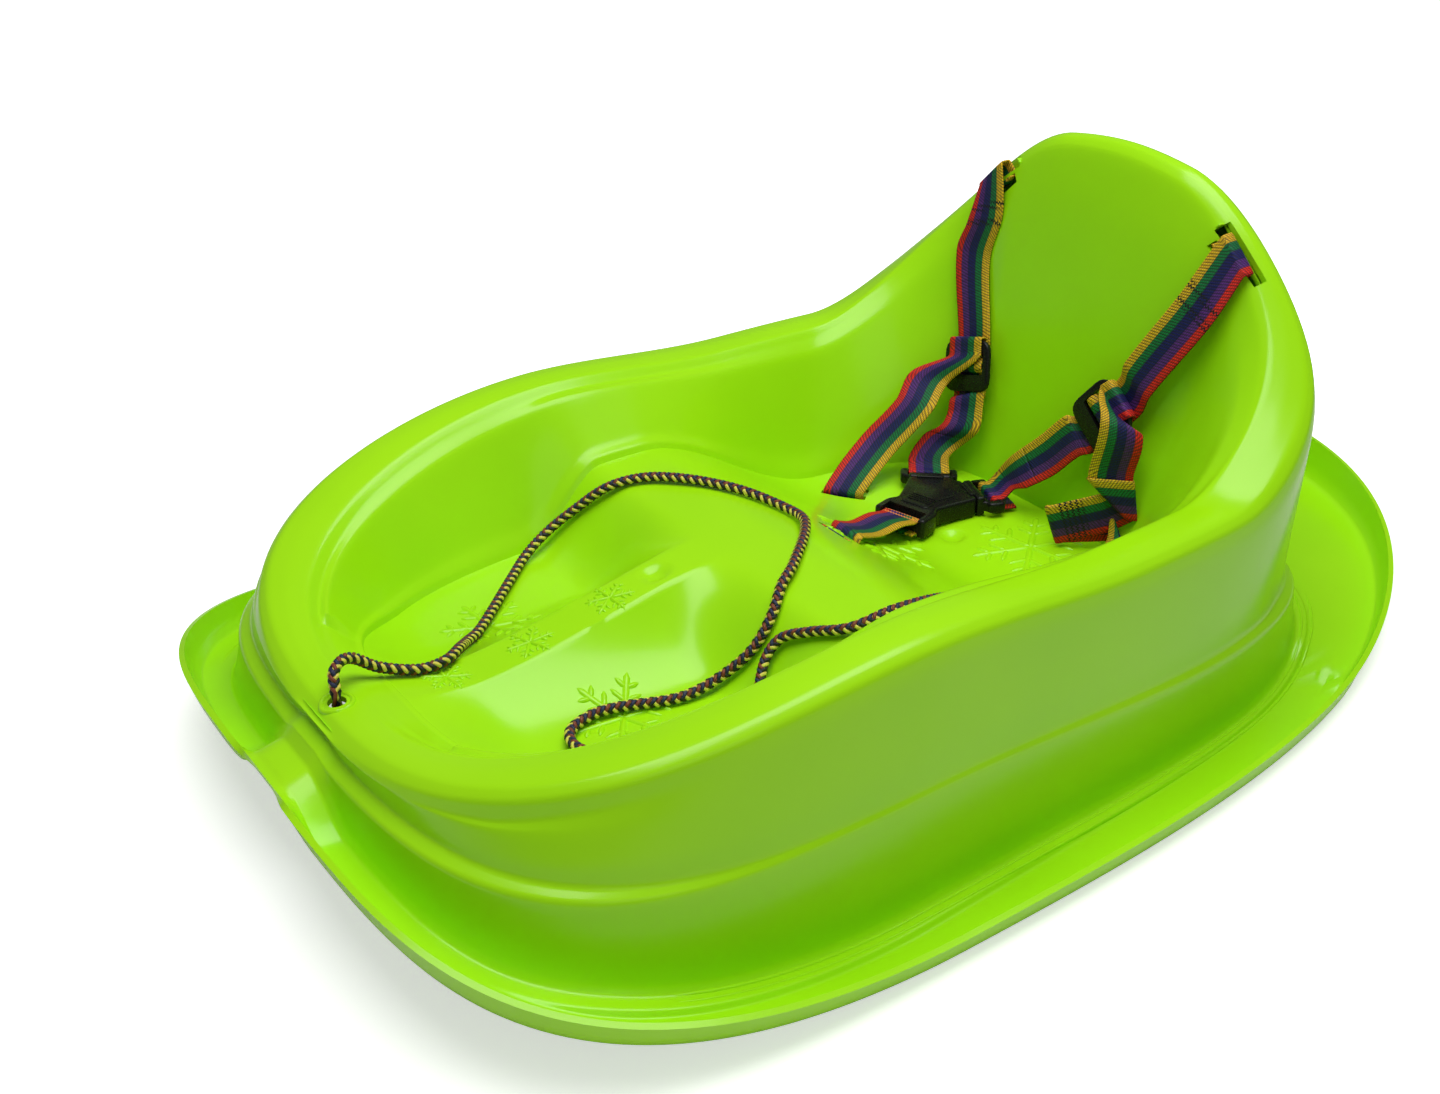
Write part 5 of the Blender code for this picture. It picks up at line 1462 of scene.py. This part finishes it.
def make_relief(shell, material):
    """Snow crystals and lines moulded into the shell."""
    surface = BVHTree.FromPolygons([vert.co for vert in shell.vertices],
                                   [list(face.vertices) for face in shell.polygons])
    grid = bmesh.new()
    for x, y, arm, turn in FLAKES:
        flake(grid, surface, x, y, arm, turn)
    for share in GUTTER_LINE_SHARES:
        path = gutter_line(share)
        for side in (1, -1):
            line = [Vector((side * point.x, point.y)) for point in path]
            ridge(grid, surface, line, GUTTER_LINE_WIDTH / 2, GUTTER_LINE_HEIGHT)
    ring = [tow_hole().xy + heading(turn) * TOW_RING_WIDTH / 2 for turn in range(0, 361, TOW_RING_STEP)]
    ridge(grid, surface, ring, TOW_RING_STROKE, TOW_RING_HEIGHT)
    bmesh.ops.recalc_face_normals(grid, faces=grid.faces)
    mesh = mesh_of(grid, "relief")
    mesh.shade_smooth()
    piece("floor_relief", mesh, "sled", "green_plastic", [], material)


def make_fitting(name, body, node_name, meshes, black):
    """A black fitting that moves with a body and stands for a CAD node."""
    piece(name, shaded(joined(meshes), FITTING_SHARP), body, "black_plastic", [node_name], black)


def make_slider(side, name, black):
    """Slider: a frame with soft corners, a wide window and a bar behind its middle."""
    place = slider_place(side)
    half = SLIDER_THICKNESS / 2
    outline = rectangle(-SLIDER_HEIGHT / 2, SLIDER_HEIGHT / 2, -SLIDER_WIDTH / 2, SLIDER_WIDTH / 2)
    form = moulding(outline, -half, half, place, SLIDER_ROUNDING)
    top = SLIDER_HEIGHT / 2 - SLIDER_TOP_BAR
    window = rectangle(top - SLIDER_WINDOW, top, -WEB_SLOT_LENGTH / 2, WEB_SLOT_LENGTH / 2)
    cut = moulding(window, -half * 2, half * 2, place, WINDOW_ROUNDING)
    reach = WEB_SLOT_LENGTH / 2 + CUT_OVERRUN
    bar = rectangle(-SLIDER_CENTRE_BAR / 2, SLIDER_CENTRE_BAR / 2, -reach, reach)
    behind = moulding(bar, -half, -half + SLIDER_BAR_DEPTH, place, BAR_ROUNDING)
    make_fitting("slider_moulding_" + name, "slider_" + name, "strap_slider_" + name,
                 [cut_out(form, [cut]), behind], black)


def body_outline():
    """Outline of the buckle body in its own frame: a ladder end, a waist and two mouths."""
    flange = SOCKET_HALF_WIDTH + MOUTH_FLANGE
    turn = Matrix.Rotation(math.pi / 2 - PLUG_SPREAD, 3, "Z")
    inner, outer = (turn @ Vector((MOUTH_RADIUS, across, 0)) for across in (flange, -flange))
    waist = flange + BODY_WAIST_FLARE
    neck_in, neck_up = BODY_NECK
    cheek_in, cheek_down = BODY_CHEEK
    right = [(PLUG_FRAME_WIDTH / 2, -LADDER_LENGTH),
             (PLUG_FRAME_WIDTH / 2, -LADDER_LENGTH * BODY_LADDER_SHARE),
             (waist - neck_in, -LADDER_LENGTH / 2 + neck_up), (waist - cheek_in, -cheek_down),
             (outer.x, outer.y), (inner.x, inner.y)]
    return right + [(0, inner.y - BODY_NOTCH)] + [(-x, y) for x, y in reversed(right)]


def buckle_cuts(place, half):
    """What is cut out of the buckle body: two sockets, the ladder's slot and the relief of its bar."""
    cuts = []
    deep = MOUTH_RADIUS - PLUG_TONGUE_START + CLEARANCE
    for side in (1, -1):
        centre = shifted(plug_place(side), MOUTH_RADIUS - deep / 2 + CUT_OVERRUN, 0, 0)
        cuts.append(box(centre, deep / 2 + CUT_OVERRUN, SOCKET_HALF_WIDTH, half - BUCKLE_WALL))
    slot_y = -LADDER_LENGTH + PLUG_BAR_WIDTH + PLUG_SLOT / 2
    cuts.append(box(shifted(place, 0, slot_y, 0), WEB_SLOT_LENGTH / 2, PLUG_SLOT / 2, half * 2))
    for level in (1, -1):
        shift = shifted(place, 0, -LADDER_LENGTH, level * (PLUG_BAR_HEIGHT / 2 + half))
        cuts.append(box(shift, WEB_SLOT_LENGTH / 2, PLUG_BAR_WIDTH + BAR_RELIEF, half))
    return cuts


def buckle_relief(place, half):
    """What stands proud on top of the buckle body: lips over the mouths, a shield and grip ribs."""
    raised = []
    lip = rectangle(MOUTH_RADIUS - MOUTH_LIP_WIDTH, MOUTH_RADIUS, -SOCKET_HALF_WIDTH, SOCKET_HALF_WIDTH)
    low = half - RELIEF_SINK
    for side in (1, -1):
        raised.append(moulding(lip, low, half + MOUTH_LIP_RISE, plug_place(side), LIP_ROUNDING))
    shield = [(x * SHIELD_SHARE, y * SHIELD_SHARE - SHIELD_SETBACK) for x, y in body_outline()]
    raised.append(moulding(shield, low, half + SHIELD_RISE, place, SHIELD_ROUNDING))
    for rib in range(GRIP_COUNT):
        start = -LADDER_LENGTH * GRIP_START + rib * GRIP_PITCH
        grip = rectangle(-GRIP_LENGTH / 2, GRIP_LENGTH / 2, start, start + GRIP_WIDTH)
        raised.append(moulding(grip, half, half + GRIP_RISE, place, GRIP_ROUNDING))
    return raised


def make_buckle(black):
    """Buckle body: rounded shell with two sockets, a raised shield on top, grip ribs and a ladder bar."""
    place = buckle_place()
    half = BUCKLE_THICKNESS / 2
    form = moulding(body_outline(), -half, half, place, BODY_ROUNDING)
    meshes = [cut_out(form, buckle_cuts(place, half))] + buckle_relief(place, half)
    make_fitting("buckle_moulding", "sled", "buckle_body", meshes, black)


def plug_frame(place, mouth, half_width):
    """The plug's frame, with a slot for webbing and a bar that is thinner than the rest."""
    level = PLUG_FRAME_HEIGHT / 2
    outline = [(mouth + FRAME_CHAMFER, -half_width + FRAME_CHAMFER),
               (mouth + PLUG_COLLAR_WIDTH, -half_width - FRAME_CHAMFER),
               (mouth + PLUG_COLLAR_WIDTH + PLUG_FRAME_FLARE, -PLUG_FRAME_WIDTH / 2),
               (PLUG_REACH, -PLUG_FRAME_WIDTH / 2)]
    outline += [(x, -y) for x, y in reversed(outline)]
    slot = shifted(place, PLUG_REACH - PLUG_BAR_WIDTH - PLUG_SLOT / 2, 0, 0)
    cuts = [box(slot, PLUG_SLOT / 2, WEB_SLOT_LENGTH / 2, level * 2)]
    for above in (1, -1):
        shift = shifted(place, PLUG_REACH, 0, above * (PLUG_BAR_HEIGHT / 2 + level))
        cuts.append(box(shift, PLUG_BAR_WIDTH + BAR_RELIEF, WEB_SLOT_LENGTH / 2 - BAR_STAGGER, level))
    return cut_out(moulding(outline, -level, level, place, PLUG_ROUNDING), cuts)


def make_plug(side, name, black):
    """Plug: a collar with ears at the socket's mouth, two prongs inside, and a slotted frame for webbing."""
    place = plug_place(side)
    mouth = MOUTH_RADIUS + CLEARANCE
    half_width = SOCKET_HALF_WIDTH + MOUTH_FLANGE
    half = BUCKLE_THICKNESS / 2
    collar = rectangle(mouth, mouth + PLUG_COLLAR_WIDTH, -half_width, half_width)
    meshes = [plug_frame(place, mouth, half_width), moulding(collar, -half, half, place, COLLAR_ROUNDING)]
    reach = half - BUCKLE_WALL - CLEARANCE
    outside = SOCKET_HALF_WIDTH - CLEARANCE
    for low, high in ((outside - PLUG_ARM_WIDTH, outside), (-outside, PLUG_ARM_WIDTH - outside)):
        prong = rectangle(PLUG_TONGUE_START + CLEARANCE, mouth + PLUG_COLLAR_WIDTH * PRONG_ROOT, low, high)
        meshes.append(moulding(prong, -reach, reach, place, PRONG_ROUNDING))
    make_fitting("plug_moulding_" + name, "plug_" + name, "buckle_plug_" + name, meshes, black)


def ribbon_mesh(stations, turned=False, first=0, last=None, seams=(), thread=1):
    """Webbing as a flat band; its weave attribute holds across, along and where it is sewn.

    A station may stand aslant at a crease: its width is then longer than one. A turned ribbon has its
    yellow edge where its widths point to. First and last say which stretch of the stations is made. It is
    sewn at the seams, each a first and last station, with dark thread (1) or orange (-1).
    """
    last = len(stations) - 1 if last is None else last
    points = [point for point, width in stations]
    directions = travel(points)
    lengths = distances(points)
    grid = bmesh.new()
    layer = grid.verts.layers.float_vector.new("weave")
    rings = []
    for index in range(first, last + 1):
        point, width = stations[index]
        normal = width.cross(directions[index]).normalized()
        sewn = thread if any(start <= index <= end for start, end in seams) else 0
        ring = []
        for face in (1, -1):
            for column in range(RIBBON_COLUMNS + 1):
                across = face * (2 * column / RIBBON_COLUMNS - 1)
                thick = WEB_THICKNESS / 2 * (1 - EDGE_THINNING * abs(across) ** EDGE_POWER)
                offset = width * across * WEB_WIDTH / 2
                vert = grid.verts.new(point + offset + normal * thick * face)
                share = (1 - across) / 2 if turned else (1 + across) / 2
                vert[layer] = Vector((share, lengths[index] + offset.dot(directions[index]), sewn))
                ring.append(vert)
        rings.append(ring)
    for face in skin(grid, rings)[:-2]:
        face.smooth = True
    bmesh.ops.recalc_face_normals(grid, faces=grid.faces)
    return mesh_of(grid, "webbing")


def make_shoulder(side, name, material):
    """A shoulder strap in three ribbons that meet end to end."""
    run = SHOULDER_RUNS[side]
    weave = slider_weave(side)
    bar = shifted(plug_place(side), PLUG_REACH - PLUG_BAR_WIDTH / 2, 0, 0)
    stations = refine(shoulder_hook(side)[:-1] + keyed(run) + weave + keyed(PLUG_RUNS[side])
                      + ladder_hook(bar, HOOK_TAIL))
    middle = nearest(stations, weave[len(weave) // 2][0])
    split = (middle + len(stations)) // 2
    below_bar = nearest(stations, Vector(run[0][0]))
    seams = [(below_bar + start, below_bar + end) for start, end in SHOULDER_SEAMS]
    turned = side > 0
    web = piece("shoulder_webbing_" + name, ribbon_mesh(stations, turned, 0, middle, seams), None, "webbing",
                ["shoulder_strap_" + name], material)
    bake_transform(web)
    web = piece("middle_webbing_" + name, ribbon_mesh(stations, turned, middle, split), None, "webbing",
                [], material)
    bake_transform(web)
    web = piece("plug_webbing_" + name, ribbon_mesh(stations, turned, split), None, "webbing", [], material)
    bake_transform(web)


def fold_point(place, height, depth):
    """A point of the folds, from its place along their plane, its height and its depth."""
    toward_bow = Vector((FOLD_ALONG[1], -FOLD_ALONG[0], 0))
    return Vector(FOLD_ORIGIN) + Vector(FOLD_ALONG) * place + toward_bow * depth + Vector((0, 0, height))


def folded():
    """The near waist strap's folds: a diagonal crease, then two hairpins behind one another."""
    along = Vector(FOLD_ALONG)
    return [(fold_point(*place), along * half_along + Vector((0, 0, half_up)))
            for place, (half_along, half_up) in FOLD_ROUTE]


def make_waist(side, name, material):
    """A waist strap: round the slider's upper bar, over its own tail, and down to a slot in the seat."""
    hook = slider_hook(side)
    anchor = floor_hook(waist_seat(side))
    seams = []
    if side < 0:
        stations = refine(hook + keyed(FAR_WAIST) + anchor)
    else:
        folds = folded()
        upper = refine(list(reversed(hook[:-1] + keyed(NEAR_WAIST) + folds[:1])))
        stations = list(reversed(upper)) + even(folds)[1:]
        stations += refine([stations[-1]] + keyed(NEAR_WAIST_LEG) + anchor)[1:]
        seams.append(sorted(nearest(stations, fold_point(*place)) for place in FOLD_SEAM))
    web = piece("waist_webbing_" + name, ribbon_mesh(stations, seams=seams), None, "webbing",
                ["waist_strap_" + name], material)
    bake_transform(web)


def make_crotch(material):
    """The crotch strap: out of its slot in the seat, round the ladder bar, with its tail folded back."""
    place = buckle_place()
    turn = place.to_3x3()
    ladder = frame(place @ Vector((0, -LADDER_LENGTH + PLUG_BAR_WIDTH / 2, 0)), -turn.col[1], turn.col[0])
    seat = crotch_seat()
    hook = list(reversed(ladder_hook(ladder, CROTCH_TAIL)))
    stations = refine(hook + keyed(CROTCH_KEYS, seat.translation) + floor_hook(seat))
    mesh = ribbon_mesh(stations, True, seams=[CROTCH_SEAM], thread=-1)
    piece("crotch_webbing", mesh, "sled", "webbing", ["crotch_strap"], material)


def make_harness(material):
    for side, name in SIDES:
        make_shoulder(side, name, material)
        make_waist(side, name, material)
    make_crotch(material)


def carried_frames(route):
    """Centre and two steady side directions at each point of a route."""
    directions = travel(route)
    side = directions[0].orthogonal().normalized()
    frames = []
    for point, direction in zip(route, directions):
        side = (side - direction * side.dot(direction)).normalized()
        frames.append((point, side, direction.cross(side)))
    return frames


def strand_path(frames, lengths, strand):
    """Centre of one strand of the braid and its direction outward, at each point of the route."""
    way = 1 if strand < HALF_BRAID else -1
    start = 2 * math.pi / HALF_BRAID * (strand % HALF_BRAID + (0.5 if way < 0 else 0))
    path = []
    for (point, side, other), distance in zip(frames, lengths):
        angle = way * 2 * math.pi * distance / BRAID_PITCH + start
        radius = BRAID_RADIUS + way * BRAID_WAVE * math.cos(2 * angle)
        outward = side * math.cos(angle) + other * math.sin(angle)
        path.append((point + outward * radius, outward))
    return path


def braid_mesh(name, route):
    """Eight-strand round braid: yellow and black strands one way, red and blue ones the other way."""
    frames = carried_frames(route)
    lengths = distances(route)
    grid = bmesh.new()
    layer = grid.verts.layers.float_vector.new("weave")
    for strand in range(2 * HALF_BRAID):
        path = strand_path(frames, lengths, strand)
        rings = []
        directions = travel([station[0] for station in path])
        for (centre, outward), along, distance in zip(path, directions, lengths):
            beside = along.cross(outward).normalized()
            ring = []
            for corner in range(STRAND_SIDES):
                turn = 2 * math.pi * corner / STRAND_SIDES
                offset = beside * math.cos(turn) * STRAND_WIDTH + outward * math.sin(turn) * STRAND_HEIGHT
                vert = grid.verts.new(centre + offset)
                vert[layer] = Vector((distance * FIBRE_UNITS_PER_METRE, corner / STRAND_SIDES, 0))
                ring.append(vert)
            rings.append(ring)
        for face in skin(grid, rings):
            face.material_index = strand // HALF_BRAID * 2 + strand % 2
    bmesh.ops.recalc_face_normals(grid, faces=grid.faces)
    mesh = mesh_of(grid, name)
    mesh.shade_smooth()
    return mesh


def knot_route(centre, size, axis):
    """An overhand knot, drawn up tight: a trefoil curve about an axis."""
    axis = axis.normalized()
    side = axis.orthogonal().normalized()
    other = axis.cross(side)
    route = []
    for step in range(KNOT_STEPS):
        angle = 2 * math.pi * step / KNOT_STEPS
        radius = 2 + math.cos(3 * angle)
        route.append(centre + (side * math.cos(2 * angle) + other * math.sin(2 * angle)) * radius * size / 3
                     + axis * math.sin(3 * angle) * size * KNOT_DEPTH)
    return route


def make_rope(yarns):
    """The tow rope with a knot at each end."""
    points = [Vector(point) for point in ROPE_ROUTE]
    route = [points[0]] + smooth_route(points[1:], BRAID_PITCH / BRAID_STEPS)
    rope = piece("tow_rope_braid", braid_mesh("tow_rope_braid", route), "sled", "rope", ["tow_rope"], *yarns)
    for name, axis in (("anchor", route[0] - route[1]), ("end", route[-1] - route[-2])):
        node_name = "tow_rope_" + name + "_knot"
        low, high = (Vector(corner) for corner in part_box(node_name))
        size = min((high - low).xy) / 2 - ROPE_WIDTH / 2
        mesh = braid_mesh("knot", knot_route((low + high) / 2, size, axis))
        piece("tow_rope_knot_" + name, mesh, "sled", "rope", [node_name], *yarns)


def main():
    for thing in list(bpy.data.objects):
        bpy.data.objects.remove(thing, do_unlink=True)
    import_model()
    place_camera()
    make_rope([yarn(name, colour) for name, colour in YARNS])
    make_stage()
    make_shell(green_plastic())
    make_harness(webbing())
    black = black_plastic()
    make_buckle(black)
    for side, name in SIDES:
        make_slider(side, name, black)
        make_plug(side, name, black)


main()
